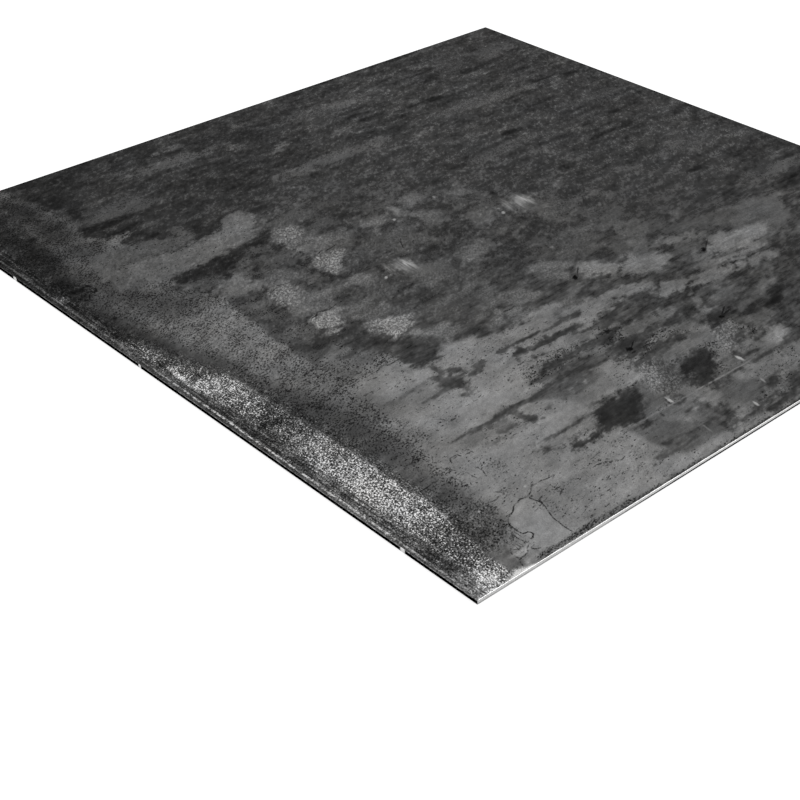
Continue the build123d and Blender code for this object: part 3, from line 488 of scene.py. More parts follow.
    # further light skins of the far part
    for cv, cu, rv, ru, deg, tone, w in [
        (435, 164, 31.3, 9, 0, 118, 2.2), (378, 141, 29.5, 5, -2, 106, 2.0), (358, 184, 18.7, 9.6, 0, 110, 2.2), (348, 185, 16.3, 7.4, -4, 112, 2.2), (327, 199, 9.2, 7.2, 31, 112, 2.2), (391, 227, 15, 6.8, 39, 84, 2.4), (372, 205, 13.3, 7.8, 47, 88, 2.2), (397, 195, 9.9, 4.4, -21, 100, 1.8),
        (413, 191, 7.6, 3.4, -5, 104, 1.8), (447, 197, 21.6, 7.2, -15, 78, 3), (363, 217, 10.4, 5.5, 49, 80, 2.6), (377, 246, 13.4, 4.6, 41, 82, 2.6), (399, 251, 8.2, 6.5, -86, 76, 2.6), (502, 179, 24.8, 6.2, 36, 92, 3),
        (315, 318, 10.5, 8.2, 63, 102, 2), (271, 284, 12.2, 8, 2, 92, 2), (288, 289, 6, 3.6, 75, 92, 2), (286, 349, 9.4, 6, -55, 96, 1.8), (290, 229, 11.2, 5.5, -16, 96, 1.8), (250, 210, 10.2, 6.9, -26, 92, 2),
        (222, 244, 20.6, 3.2, 5, 84, 2.2), (228, 275, 15.9, 5.4, 82, 84, 2.6), (274, 184, 6.7, 4.7, 5, 86, 2.4), (195, 371, 15.2, 8.8, 74, 96, 2.4), (142, 347, 10.8, 8.3, -2, 92, 2.4), (141, 305, 14.7, 10.9, 89, 94, 2.4),
        (158, 274, 13.1, 5.3, -20, 84, 2.2), (183, 308, 8.9, 4.8, -21, 98, 1.8), (221, 342, 11.8, 4.2, -7, 78, 2), (190, 285, 8.6, 3.6, 1, 76, 2), (222, 393, 9.1, 7.1, 21, 74, 2.2),
    ]:
        near = cv > 300 and cu < 260
        c.film(E(cv, cu, rv, ru, deg), tone + 6, soft=3.0 if near else 4.0, w=(1.15 if near else 1.6) * w, rag=1.35 if near else 0.9, gran=0.2 if near else 0.45, dots=0.0, strk=0.9, gain=2.2)

    # smooth light patch
    c.film(P((303, 309), (306, 317), (311, 326), (318, 330), (325, 326), (331, 322), (324, 316), (318, 312), (310, 309)), 92, 4, 2.6, gran=0.1)
    c.film(S((271, 363, 1.0), (273, 369, 2.2), (276, 377, 1.4)), 118, 2.0, 1.8, rag=0.4)
    c.spot(E(430, 300, 30, 30), 8, strk=1.0)


def band(c):
    """Dark run of scale and, beside the left edge, a grainy strip whose light grains are painted glints."""
    v, u = c.v, c.u
    inner = curve(u, [(0, 42), (20, 46), (40, 60), (75, 62), (100, 62), (140, 68), (170, 66), (200, 64), (235, 54), (262, 44),
                      (290, 43), (320, 35), (350, 30), (380, 27), (410, 27), (430, 30), (450, 34), (480, 40), (530, 44), (620, 52)])
    wide = curve(u, [(0, 9), (330, 9), (380, 15), (500, 15), (620, 12)])
    m = step(-1, 1, np.minimum(inner - v, v + 14) / wide)
    val = curve(u, [(0, 92), (22, 88), (36, 80), (60, 82), (95, 89), (115, 90), (130, 82), (150, 76), (175, 72), (205, 68), (235, 74), (255, 78),
                    (285, 70), (310, 64), (350, 58), (380, 56), (415, 52), (440, 50), (480, 54), (520, 56), (620, 48)])
    val = val + 4 * step(44, 58, v) * step(40, 60, u) * (1 - step(70, 100, u)) - 5 * step(60, 75, u) * (1 - step(115, 135, u))
    for name in ("light", "dark"):
        a = getattr(c, name)
        a += (val / 255.0 - a) * m
    want = curve(u, [(0, .1), (30, .8), (60, .85), (90, .5), (115, .45), (135, .75), (170, 1), (230, .9), (262, .25), (320, .2), (380, .5), (440, 1), (620, 1)])
    c.dots += (want - c.dots) * m
    c.strk *= 1 - m
    c.gran *= 1 - m
    # finer peppering where the run fades into the film
    c.dots = np.maximum(c.dots, 0.9 * step(0, 8, v - inner + 8) * step(0, 10, inner + 14 - v) * step(40, 90, u))
    c.spot(E(32, 470, 14, 40, 0), 8, dots=1.0)

    edge = curve(u, [(0, 32), (20, 30), (45, 34), (60, 37), (80, 39), (110, 38.5), (150, 39), (200, 38), (225, 37), (250, 37), (272, 34),
                     (290, 26), (310, 21), (335, 17), (350, 13), (380, 8), (420, 6), (435, 11), (460, 8), (620, 8)])
    start = curve(u, [(0, 8), (30, 11), (70, 12.0), (150, 11.5), (205, 13), (240, 11), (280, 8), (300, 6), (330, 5), (620, 4)])
    wob = 1.4 * fbm(v / 9, u / 9, 71)
    strip = np.minimum(edge - v, v - start) + wob
    g = step(-2.5, 2.5, strip)
    lift = curve(u, [(0, 128), (12, 114), (24, 90), (36, 88), (50, 90), (60, 104), (70, 116), (85, 134), (100, 140), (118, 134), (135, 130),
                     (150, 124), (165, 116), (178, 98), (190, 86), (203, 68), (212, 84), (225, 96), (240, 112), (256, 120), (268, 106), (280, 90),
                     (295, 78), (310, 72), (322, 82), (340, 76), (352, 62), (370, 54), (430, 52), (620, 42)])
    for name in ("light", "dark"):
        a = getattr(c, name)
        a += (lift / 255.0 - a) * g
    # strength of the grainy strip; its light grains are painted glints
    c.glit = g * curve(u, [(0, .8), (25, .9), (50, .95), (80, 1), (150, 1), (185, .8), (205, .9), (235, .9), (260, .9), (300, .85), (350, .75), (400, .6), (450, .55), (620, .4)])
    c.dots *= 1 - g
    # weaker grain and painted glints to both sides of the strip
    skirt = step(-7, 1, np.minimum(edge + 4 - v, v + 6)) * curve(u, [(0, .45), (60, .55), (150, .5), (300, .45), (400, .5), (620, .4)])
    c.glit = np.maximum(c.glit, skirt)
    near = step(-2.0, 2.0, np.minimum(start - 0.5 - v, v + 9))
    val = curve(u, [(0, 116), (14, 104), (22, 90), (40, 84), (60, 82), (80, 94), (100, 98), (125, 88), (160, 88), (200, 72), (230, 68), (260, 70), (280, 74), (310, 74), (340, 70), (380, 60), (420, 56), (460, 48), (620, 44)])
    for name in ("light", "dark"):
        a = getattr(c, name)
        a += (val / 255.0 - a) * near
    for shape, tone, soft, am in [
        (E(26, 110, 9, 24, 0), 122, 6, .5), (E(14, 192, 9, 14), 98, 5, .8), (E(11, 291, 4, 9), 84, 3, .6), (E(14, 100, 3, 60), 108, 3, .5), (E(22, 105, 6, 34), 156, 5, .6), (E(33, 82, 6, 12), 148, 4, .5), (E(24, 136, 5, 20), 142, 4, .5), (E(27, 156, 8, 8), 132, 4, .5), (E(24, 168, 5, 8), 130, 3, .5),
        (E(20, 262, 8, 10), 146, 4, .8), (E(16, 273, 4, 5), 140, 3, .7), (E(22, 266, 3, 5), 190, 2.5, .6), (E(24, 233, 2.0, 2.4), 220, 1.4, .9), (E(22, 226, 4, 5), 126, 3, .6), (E(18, 256, 5, 4), 150, 3, .5),
        (E(12, 276, 2.4, 8, -14), 150, 2.2, .7), (E(11.5, 291, 1.8, 8, -10), 165, 1.8, .8), (E(15, 297, 1.6, 5, 40), 150, 1.8, .7), (E(9, 321, 3, 7), 118, 3, .7), (E(12, 318, 2.0, 3), 150, 2, .7), (E(6.5, 346, 2, 8), 104, 2.5, .7),
        (E(5, 430, 2, 6), 92, 2.0, .8), (E(9, 424, 1.8, 3), 92, 1.8, .8), (E(23, 181, 5, 4), 128, 3, .7), (E(24, 183, 2, 2), 160, 1.8, .6), (E(30, 218, 4, 12), 88, 4, .6), (E(14, 232, 3, 20), 80, 3, .5),
        (E(17, 9, 5, 9), 172, 3.5, .8), (E(17, 14, 4, 5), 190, 3, .5), (E(27, 10, 4, 9), 104, 3, .6), (E(8, 8, 4, 8), 122, 3, .5),
        (E(8, 30, 4, 6), 52, 3, .8), (E(17, 62, 4, 6, 20), 78, 4, .6), (E(30, 55, 5, 7), 76, 4, .6), (E(17, 48, 3, 4), 74, 3, .6), (E(22, 30, 7, 7), 84, 4, .5), (E(36, 44, 3, 8), 60, 3, .6), (E(43, 40, 3, 5), 54, 3, .5),
        (E(16, 207, 3, 2.6, 30), 34, 1.8, .85), (E(26, 204, 3, 3.4), 40, 2, .8), (E(14.5, 196, 2, 3.6), 44, 2, .8), (E(30, 197, 2.5, 4), 58, 2.4, .7), (E(20, 215, 4, 3, -40), 58, 2.4, .6), (E(20, 199, 4, 3), 84, 2, .6),
        (E(14, 292, 1.4, 3), 40, 1.4, .8), (E(22, 284, 3, 4), 62, 2, .5), (E(18, 245, 3, 4), 84, 2.4, .5), (E(12, 222, 2, 4), 52, 2, .5), (E(10, 362, 2, 3), 34, 1.6, .7), (E(21, 380, 1.7, 1.7), 24, 1.0, .95),
        (E(20, 429, 5, 3), 24, 2.4, .8), (E(14, 422, 3, 3), 34, 2.4, .6), (E(19, 445, 7, 8), 30, 6, .6), (E(30, 495, 8, 22), 34, 8, .5), (E(44, 428, 2, 2), 118, 1.6, .8), (E(38, 519, 3, 3), 24, 2.4, .7),
    ]:
        c.shade(shape, tone, soft, am)
    # smooth patch inside the corner and the glare along the front side
    c.shade(P((32, 24), (42, 25), (43, 12), (40, 6), (31, 7)), 88, 2.0, .9)
    c.spot(P((31, 25), (43, 26), (44, 12), (41, 4), (31, 6)), 2.0, glit=0.05, dots=0.0)
    c.shade(S((26, 0, 2.0), (32, 1.0, 3.2), (40, 0, 2.2), (50, -1, 1.0)), 225, 2.2, .95)
    c.shade(S((2, -1, 2.2), (12, 0, 3.0), (24, -1, 3.2)), 180, 3.0, .75)
    c.spot(S((25, 0, 2.5), (33, 0, 4), (46, -1, 2)), 2.0, glit=0.1, dots=0.0)
    c.shade(P((57, 33), (60, 24), (56, 12), (54, 2), (48, 1), (42, 3), (42, 13), (45, 23)), 116, 2.4, .85)
    c.spot(P((57, 33), (60, 24), (56, 12), (54, 2), (48, 1), (42, 3), (42, 13), (45, 23)), 2.0, dots=0.1, glit=0.03)
    c.spot(P((58, 62), (64, 56), (58, 40), (45, 27), (38, 22), (36, 33), (38, 46), (46, 58)), 6.0, dots=1.0, glit=0.22)
    c.shade(P((58, 62), (64, 56), (58, 40), (45, 27), (38, 22), (36, 33), (38, 46), (46, 58)), 98, 6.0, .7)
    # inner lip of the left edge: darker, finely ruled
    c.shade(S((6.5, 30, 2.2), (5.5, 200, 2.6), (5.5, 420, 2.2)), 66, 2.4, .35)


def marks(c):
    """Small single features painted last."""
    for shape, tone, soft in [
        (E(258, 135, 6, 2.4, 22), 46, 3.0), (E(254, 115, 6, 4, 40), 52, 3.5), (E(251, 131, 5, 3), 50, 3.0),
        (E(299, 204.5, 5, 2.4, 30), 52, 2.6), (E(401, 170, 5, 2.4, 25), 56, 2.6),
        (E(331, 100, 8, 3.4, 22), 52, 3.4), (E(347.5, 103.5, 1.5, 1.2), 34, 1.2),
        (E(379, 89.5, 7, 3.4, 18), 36, 3.4), (E(390, 95, 9, 4, 20), 42, 4.0), (E(374, 93, 8, 4), 54, 4.0), (E(353, 342, 3, 2, 45), 20, 2.4), (E(364, 145, 1.6, 1.0), 48, 1.3),
    ]:
        c.shade(shape, tone, soft)
    for at in (218.5, 290.5):
        c.shade(S((at, 31, .5), (at, 40, .6)), 128, 1.5, .8)
    # crust just inside the front side
    v, u = c.v, c.u
    top = 4.6 + 1.6 * fbm(v / 7, v * 0 + 4.4, 81, 3) - 2.4 * step(124, 140, v)
    m = step(-1.4, 1.4, np.minimum(top - u, u - 1.0)) * step(44, 56, v) * (1 - step(440, 470, v))
    want = 88 / 255.0
    for name in ("light", "dark"):
        a = getattr(c, name)
        a += (want - a) * m * 0.75
    c.dots = np.maximum(c.dots, m * 1.4)


def hidden(c):
    """The same kind of finish, seeded, on the part of the face beyond the view."""
    v, u = c.v, c.u
    crop = P((-20, -20), (258, -20), (520, 192), (76, 592), (-20, 440))
    out = -depth(crop, v, u)
    rs = np.random.RandomState(41)
    free = lambda a, b: float(-depth(crop, np.array([a]), np.array([b]))[0])
    # broad films along the rolling direction near the front side
    for cv, cu, rv, ru, tone in [(360, 34, 62, 12, 112), (452, 60, 60, 9, 104), (520, 28, 70, 13, 116), (560, 96, 44, 10, 106), (500, 120, 34, 8, 100), (590, 150, 40, 12, 110),
                                 (560, 220, 44, 8, 92), (540, 300, 40, 8, 86), (420, 396, 46, 7, 88), (300, 478, 60, 9, 96), (200, 560, 46, 9, 92), (470, 480, 60, 10, 94), (360, 560, 60, 8, 88), (560, 560, 50, 10, 92), (560, 420, 36, 6, 84)]:
        c.film(E(cv, cu, rv, ru, rs.uniform(-3, 3)), tone, 7, 2.4, dots=0.4, strk=0.4)
    count = 0
    while count < 150:
        a, b = rs.uniform(0, 609), rs.uniform(0, 609)
        pick = rs.uniform()
        long, wide = rs.uniform(7, 24), rs.uniform(1.0, 4.0)
        tone_l, tone_d = rs.uniform(76, 118), rs.uniform(44, 66)
        tilt, grain = rs.uniform(-4, 4), rs.uniform()
        if free(a, b) < 12 + 0.5 * long:
            continue
        count += 1
        if pick < 0.45:
            c.scale(S((a - long, b, 0.5), (a - 0.3 * long, b + tilt * .3, wide), (a + 0.4 * long, b + tilt * .2, wide * 0.8), (a + long, b + tilt * .5, 0.6)), tone_d, 3, 1.6)
        else:
            c.film(E(a, b, long * 0.55, wide * 1.6, tilt * 4), tone_l * (0.86 if b > 200 else 1.0), 3, 2.2, gran=grain * 0.9, dots=0.1, strk=0.6)


def fields(v0, u0):
    """Finish of the top face at plate points: v along the rolling direction, u across
    it, both in mm from the near corner."""
    shape = np.shape(v0)
    v0, u0 = np.ravel(v0), np.ravel(u0)
    # wander the outlines so that no drawn shape keeps a clean border
    wv = 3.4 * fbm(v0 / 24, u0 / 15, 11) + 1.6 * fbm(v0 / 8, u0 / 5, 12, 2)
    wu = 1.8 * fbm(v0 / 24, u0 / 13, 21) + 1.1 * fbm(v0 / 7, u0 / 4.0, 22, 2)
    c = Canvas(v0 + wv, u0 + wu)
    c.dark = c.dark + 0.022 * fbm(v0 / 47, u0 / 21, 31) + 0.014 * fbm(v0 / 13, u0 / 6, 32)
    c.edge = c.edge + 1.2 + 2.6 * fbm(v0 / 25, u0 / 7, 34) + 1.6 * fbm(v0 / 9, u0 / 3.6, 35, 2)
    c.width = c.width + 1.1 * step(190, 280, u0)
    c.light = c.light - 0.045 + 0.03 * fbm(v0 / 60, u0 / 30, 36)
    valley(c)
    hidden(c)
    streaks(c)
    middle(c)
    c.v, c.u = v0 + 0.35 * wv * step(20, 60, v0), u0 + 0.35 * wu
    band(c)
    c.v, c.u = v0, u0
    marks(c)
    c.width *= 1.5
    names = ("edge", "light", "dark", "width", "rag", "gran", "dots", "strk", "glit")
    return {n: getattr(c, n).reshape(shape) for n in names}


SEAMS = [
    # (closed, strength, points): fine dark outlines where a skin of scale ends
    (0, 1.0, [(58.7, 29.0), (58.6, 25.9), (59.2, 23.5), (60.9, 23.1), (62.4, 23.2), (63.0, 22.3), (63.6, 20.9), (63.3, 19.4), (61.5, 17.9), (59.6, 17.2), (59.4, 17.9)]),
    (0, .9, [(58.7, 29.0), (58.9, 32.1), (59.4, 35.1), (60.9, 37.1), (62.5, 38.8), (65.1, 40.1), (67.6, 41.0), (71.2, 43.0), (72.9, 44.5), (75.1, 45.8), (78.2, 46.3), (81.1, 47.3), (85.8, 45.8)]),
    (0, .9, [(85.8, 45.8), (86.7, 41.5), (87.8, 37.4), (86.6, 31.9), (84.4, 26.9), (82.5, 22.5), (81.9, 17.5), (81.3, 12.5), (81.4, 7.0)]),
    (0, .55, [(85.6, 46), (90, 47.6), (93, 49.6), (96, 52.6)]), (0, .5, [(87.8, 37.2), (89.6, 39.8), (92.4, 40.6)]),
    (0, .6, [(53.9, 17.0), (52.4, 16.0), (50.9, 15.4), (49.9, 15.7)]), (0, .7, [(56.8, 16.9), (55.8, 15.3), (54.5, 13.5), (53.6, 11.8), (53.9, 10.0), (55.1, 9.0), (57.3, 8.6)]),
    (0, .6, [(58.1, 32.1), (56.0, 29.7), (54.6, 26.6), (54.0, 23.7), (54.2, 21.4), (54.6, 18.9), (53.9, 17.0)]), (0, .5, [(46.7, 29.2), (47.1, 27.1), (47.9, 25.7), (50.1, 25.5), (53.0, 26.6), (56.0, 29.7)]),
    (0, .55, [(49.8, 32.9), (48.1, 30.8), (46.8, 27.9), (46.3, 25.2), (46.8, 22.8), (48.2, 22.0), (50.8, 23.0), (54.6, 26.6)]), (0, .6, [(42.2, 16.5), (44.3, 17.4), (46.2, 16.5), (47.3, 14.8), (49.9, 15.7)]),
    (0, .65, [(42.2, 16.5), (41.3, 13.7), (41.5, 11.4), (42.1, 9.7), (44.9, 9.3), (47.8, 9.8), (50.3, 11.3), (51.6, 13.2)]), (0, .5, [(51.6, 13.2), (54.2, 14.4), (55.8, 15.3)]),
    (0, .45, [(49.3, 20.6), (49.5, 18.0), (49.9, 15.7)]), (0, .45, [(46.8, 22.8), (45.3, 20.0), (42.2, 16.5)]), (0, .45, [(42.1, 9.7), (40.1, 7.1), (38.9, 4.0)]),
    (0, .5, [(64.6, 57.0), (70, 56.2), (74, 57.6), (77.6, 56.4), (78.4, 59.2), (75.2, 61.8)]), (0, .4, [(78, 58.6), (81.6, 59), (84.4, 58.4)]),
    (0, .5, [(42.6, 49.6), (40.4, 55), (41.2, 62.4)]), (0, .5, [(44.8, 91.8), (50.4, 92.0), (54.6, 93.2), (57.4, 92.6)]),
    (0, .75, [(66.6, 94.4), (69.4, 94.0), (70.4, 96.2), (72.2, 93.0)]), (0, .8, [(75.8, 99.0), (77.6, 103.0), (79.6, 104.2), (84.6, 103.6), (85.6, 101.0)]), (0, .6, [(90.4, 104.0), (93.4, 103.4), (93.6, 99.6)]),
    (0, .6, [(72.6, 87.4), (76.6, 87.0), (76.0, 83.0), (76.8, 80)]), (0, .5, [(84.4, 86.8), (85.0, 82.4), (83.2, 78.4)]), (0, .45, [(52.4, 116.4), (60, 115.6), (64, 114.2)]),
    (0, .8, [(104.6, 206.8), (112.4, 207.2), (114.6, 208.6), (116.8, 210.6), (119.2, 208.4), (121.6, 207.4), (131, 208.2)]),
    (0, .7, [(123, 288.4), (127.6, 289.0), (130.6, 292.6), (133.4, 290.2), (139, 289.4), (146, 291.2)]), (0, .7, [(182.8, 357.4), (186.6, 357.6), (190.2, 360.6), (193.8, 357.4), (199, 357.8), (204, 359.6)]),
    (0, .6, [(126.8, 336.6), (130.6, 338.0), (133.4, 341.0), (137.4, 337.4)]),
    (1, .9, [(25.4, 427.2), (26.2, 430.4), (29.6, 431.4), (32.6, 428.6), (33.6, 423.6), (31.2, 419.4), (28.2, 420.0), (30.2, 423.0), (29.6, 426.6), (27.2, 427.8)]),
    (0, .8, [(17.2, 419.2), (20.6, 418.6), (24.2, 420.2), (25.0, 423.4), (22.4, 425.4), (19.4, 425.0)]), (0, .7, [(12.0, 415.6), (14.6, 414.8), (17.6, 415.8)]),
    (0, .7, [(64.6, 242.4), (67.6, 238.4)]), (0, .6, [(68.4, 230.2), (69.6, 226.4)]), (0, .6, [(54.2, 243.4), (60, 240.2), (66, 242)]),
    (0, .5, [(103.2, 138.6), (105.6, 134.8)]), (0, .6, [(97.8, 51.4), (103.6, 51.6), (108.2, 50.4), (114.2, 50.6)]), (0, .5, [(128, 50.6), (136.6, 50.2)]),
    (0, .6, [(101.6, 34.6), (104.4, 36.6), (107.6, 37.0)]), (0, .6, [(136.8, 39.8), (141.4, 40.0), (146.2, 38.2)]), (0, .5, [(141.2, 37.6), (146, 34.2), (149.6, 37.8), (154.2, 33.2), (158.6, 34.4)]),
    (0, .6, [(186, 149.6), (190.6, 150.4), (193.2, 148.6)]), (0, .5, [(228.2, 205.6), (233, 204.0), (238.4, 206.4)]),
    (0, .5, [(245, 237.4), (249.6, 238.6)]), (0, .6, [(238.6, 322.4), (242.4, 329.2), (246.4, 333.6)]), (0, .5, [(246.4, 320.2), (252.4, 326.0)]),
]


def seams(v, u):
    """Signed mm from the nearest fine outline, and how strongly it shows."""
    best, on = np.full(v.shape, 9.0), np.zeros(v.shape)
    for closed, strength, pts in SEAMS:
        pts = pts + pts[:1] if closed else pts
        vs, us = [p[0] for p in pts], [p[1] for p in pts]
        i = np.flatnonzero((v > min(vs) - 5) & (v < max(vs) + 5) & (u > min(us) - 5) & (u < max(us) + 5))
        a, b = v[i], u[i]
        near, sign, past = np.full(a.shape, 9.0), np.ones(a.shape), np.zeros(a.shape)
        for n, ((av, au), (bv, bu)) in enumerate(zip(pts[:-1], pts[1:])):
            dv, du = bv - av, bu - au
            size = math.hypot(dv, du)
            raw = ((a - av) * dv + (b - au) * du) / (size * size)
            t = np.clip(raw, 0, 1)
            d = np.hypot(a - av - t * dv, b - au - t * du)
            side = np.where((a - av) * du - (b - au) * dv >= 0, 1.0, -1.0)
            over = np.zeros(a.shape)
            if not closed and n == 0:
                over = np.maximum(over, -raw * size)
            if not closed and n == len(pts) - 2:
                over = np.maximum(over, (raw - 1) * size)
            take = d < near - 1e-6
            near = np.where(take, d, near)
            sign = np.where(take, side, sign)
            past = np.where(take, over, past)
        win = near < np.abs(best[i])
        best[i] = np.where(win, near * sign, best[i])
        on[i] = np.where(win, strength * (1 - step(0.2, 1.4, past)), on[i])
    return best, on * (1 - step(2.0, 3.0, np.abs(best)))

# ------------------------------------------------------------ mesh of the plate
def graded(n, first, last, a, b):
    """n + 1 positions from a to b whose spacing grows from first to last (shares)."""
    t = np.linspace(0.0, 1.0, n)
    w = first + (last - first) * step(0.12, 0.62, t)
    s = np.concatenate([[0.0], np.cumsum(w)])
    return a + (b - a) * s / s[-1]


def ring_frame(g):
    """Feet and outward normals of the outline, once round, starting on the front side.
    Straight stretches carry the grid's own positions, each corner three more points."""
    c, n = [], []
    k = CORNER_R
    inner = g[1:-1]
    turn = [math.pi * 1.5, 0.0, math.pi * 0.5, math.pi]
    sides = [
        [((t, k), (0.0, -1.0)) for t in inner],
        [((SIDE - k, t), (1.0, 0.0)) for t in inner],
        [((t, SIDE - k), (0.0, 1.0)) for t in inner[::-1]],
        [((k, t), (-1.0, 0.0)) for t in inner[::-1]],
    ]
    centres = [(SIDE - k, k), (SIDE - k, SIDE - k), (k, SIDE - k), (k, k)]
    for i in range(4):
        for foot, out in sides[i]:
            c.append(foot)
            n.append(out)
        for j in range(3):
            a = turn[i] + math.pi / 4 * j
            c.append(centres[i])
            n.append((math.cos(a), math.sin(a)))
    return np.array(c), np.array(n)


def build_plate():
    g = graded(LINES, 1.0, 2.25, ROLL_R, SIDE - ROLL_R)
    N = LINES
    foot, out = ring_frame(g)
    M = len(foot)
    # distance run along the outline, for the shear marks
    run = np.concatenate([[0.0], np.cumsum(np.hypot(*np.diff(foot + out * CORNER_R, axis=0).T))])

    verts, v_u, rim, side = [], [], [], []
    lit_side_paint = np.abs(out[:, 1])          # the two sheared long sides are painted bright as lit, the other two painted dark as in shade

    # top grid, inner points only
    gi = g[1:-1]
    V, U = np.meshgrid(gi, gi, indexing="ij")
    index = np.full((N + 1, N + 1), -1, int)
    index[1:-1, 1:-1] = np.arange(gi.size ** 2).reshape(gi.size, gi.size)
    top = np.stack([V.ravel(), U.ravel()], 1)
    top_count = len(top)

    # rings down the edge
    wob = fbm(run / 5.0, run * 0 + 3.1, 301, 3)
    fine = fbm(run / 1.6, run * 0 + 8.7, 302, 2)
    tear = fbm(run / 9.0, run * 0 + 1.7, 303, 4)
    rz = ROLL_R * (1.0 + 0.30 * wob)
    zf = 1.62 + 0.34 * tear + 0.10 * fine
    rows = [(np.full(M, ROLL_R), np.full(M, THICK))]
    for a in (35.0, 65.0, 90.0):
        a = math.radians(a)
        rows.append((np.full(M, ROLL_R * (1 - math.sin(a))), THICK - rz * (1 - math.cos(a))))
    rows.append((np.full(M, 0.0) + 0.006 * (1 + fine), np.full(M, 2.22)))
    rows.append((np.full(M, 0.004), zf))
    rough = [fbm(run / 2.2, run * 0 + q, 310 + int(q), 3) for q in (1.0, 2.0, 3.0, 4.0)]
    rows.append((0.045 + 0.02 * rough[0], zf - 0.10))
    rows.append((0.070 + 0.045 * rough[1], 0.66 * zf))
    rows.append((0.085 + 0.045 * rough[2], 0.34 * zf))
    rows.append((SET_BACK + 0.03 * rough[3], np.full(M, 0.10)))
    rows.append((np.full(M, SET_BACK + 0.06), np.full(M, 0.0)))
    # small knocks on the left edge and one on the front side
    for pos, at, half, deep in NICKS:
        foot_x = foot + out * CORNER_R
        near = np.hypot(foot_x[:, 0] - pos[0], foot_x[:, 1] - pos[1])
        k = np.exp(-(near / half) ** 2)
        for r in range(1, 6):
            rows[r] = (rows[r][0] + deep * k * (1.0 - 0.15 * r), rows[r][1] - 0.35 * deep * k * (r < 4))
    ring_at = []
    pts = [np.column_stack([top, np.full(top_count, THICK)])]
    total = top_count
    for d, z in rows:
        xy = foot + out * (CORNER_R - d)[:, None]
        pts.append(np.column_stack([xy, z]))
        ring_at.append(total)
        total += M

    # underside grid
    cg = graded(COARSE, 1.0, 1.0, 4.0, SIDE - 4.0)
    CV, CU = np.meshgrid(cg, cg, indexing="ij")
    under_at = total
    pts.append(np.column_stack([CV.ravel(), CU.ravel(), np.zeros(CV.size)]))
    total += CV.size
    pts = np.concatenate(pts)

    # ring slot -> top ring vertex for every border place of the grid
    n1 = N - 1
    r0 = ring_at[0]
    def front(i): return r0 + i - 1                       # i = 1 .. N-1, u low
    def right(j): return r0 + n1 + 3 + j - 1
    def back(i): return r0 + 2 * (n1 + 3) + (N - 1 - i)
    def left(j): return r0 + 3 * (n1 + 3) + (N - 1 - j)
    corner = [r0 + n1 + 3 * k + n1 * k for k in range(4)]  # first of the three points after side k
    for i in range(1, N):
        index[i, 0], index[i, N] = front(i), back(i)
        index[0, i], index[N, i] = left(i), right(i)

    quads, tris, mats_q, mats_t = [], [], [], []
    a = index[1:N - 1, 1:N - 1]
    # all cells but the four corner ones
    I, J = np.meshgrid(np.arange(N), np.arange(N), indexing="ij")
    keep = ~(((I == 0) | (I == N - 1)) & ((J == 0) | (J == N - 1)))
    I, J = I[keep], J[keep]
    quads.append(np.column_stack([index[I, J], index[I + 1, J], index[I + 1, J + 1], index[I, J + 1]]))
    mats_q.append(np.zeros(len(I), int))
    # corner cells as fans about their inner point; the three ring points go round the corner
    for (ci, cj), first, before, after in (
        ((N - 1, 1), corner[0], front(N - 1), right(1)),
        ((N - 1, N - 1), corner[1], right(N - 1), back(N - 1)),
        ((1, N - 1), corner[2], back(1), left(N - 1)),
        ((1, 1), corner[3], left(1), front(1)),
    ):
        hub = index[ci, cj]
        loop = [before, first, first + 1, first + 2, after]
        for p, q in zip(loop[:-1], loop[1:]):
            tris.append((hub, p, q))
            mats_t.append(0)
    # strips down the edge: the rollover belongs to the face, the rest to the edge
    k = np.arange(M)
    k2 = (k + 1) % M
    for r in range(len(rows) - 1):
        p, q = ring_at[r], ring_at[r + 1]
        quads.append(np.column_stack([p + k, q + k, q + k2, p + k2]))
        mats_q.append(np.full(M, 0 if r < 2 else 1))
    # underside: coarse grid, then a zipped border strip
    C = COARSE
    cidx = under_at + np.arange((C + 1) ** 2).reshape(C + 1, C + 1)
    I, J = np.meshgrid(np.arange(C), np.arange(C), indexing="ij")
    I, J = I.ravel(), J.ravel()
    quads.append(np.column_stack([cidx[I, J], cidx[I, J + 1], cidx[I + 1, J + 1], cidx[I + 1, J]]))
    mats_q.append(np.full(len(I), 2))
    inner_loop = ([cidx[i, 0] for i in range(C)] + [cidx[C, j] for j in range(C)]
                  + [cidx[i, C] for i in range(C, 0, -1)] + [cidx[0, j] for j in range(C, 0, -1)])
    outer_loop = [ring_at[-1] + (m - 1) % M for m in range(M)]   # starts at the near corner's last point
    def around(i):
        x, y = pts[i, 0] - HALF, pts[i, 1] - HALF
        # place along a square outline, 0 .. 4, from the near corner along the front side
        if -y >= abs(x): return 0.5 + 0.5 * x / -y
        if x >= abs(y): return 1.5 + 0.5 * y / x
        if y >= abs(x): return 2.5 - 0.5 * x / y
        return 3.5 - 0.5 * y / -x
    to = [around(i) for i in outer_loop]
    ti = [around(i) for i in inner_loop]
    to = [t - 4 if (n < 3 and t > 3) else t for n, t in enumerate(to)]
    to.append(to[0] + 4); ti.append(ti[0] + 4)
    outer_loop.append(outer_loop[0]); inner_loop.append(inner_loop[0])
    i = j = 0
    while i < len(outer_loop) - 1 or j < len(inner_loop) - 1:
        step_outer = j == len(inner_loop) - 1 or (i < len(outer_loop) - 1 and to[i + 1] <= ti[j + 1])
        if step_outer:
            tris.append((outer_loop[i], inner_loop[j], outer_loop[i + 1])); i += 1
        else:
            tris.append((outer_loop[i], inner_loop[j], inner_loop[j + 1])); j += 1
        mats_t.append(2)

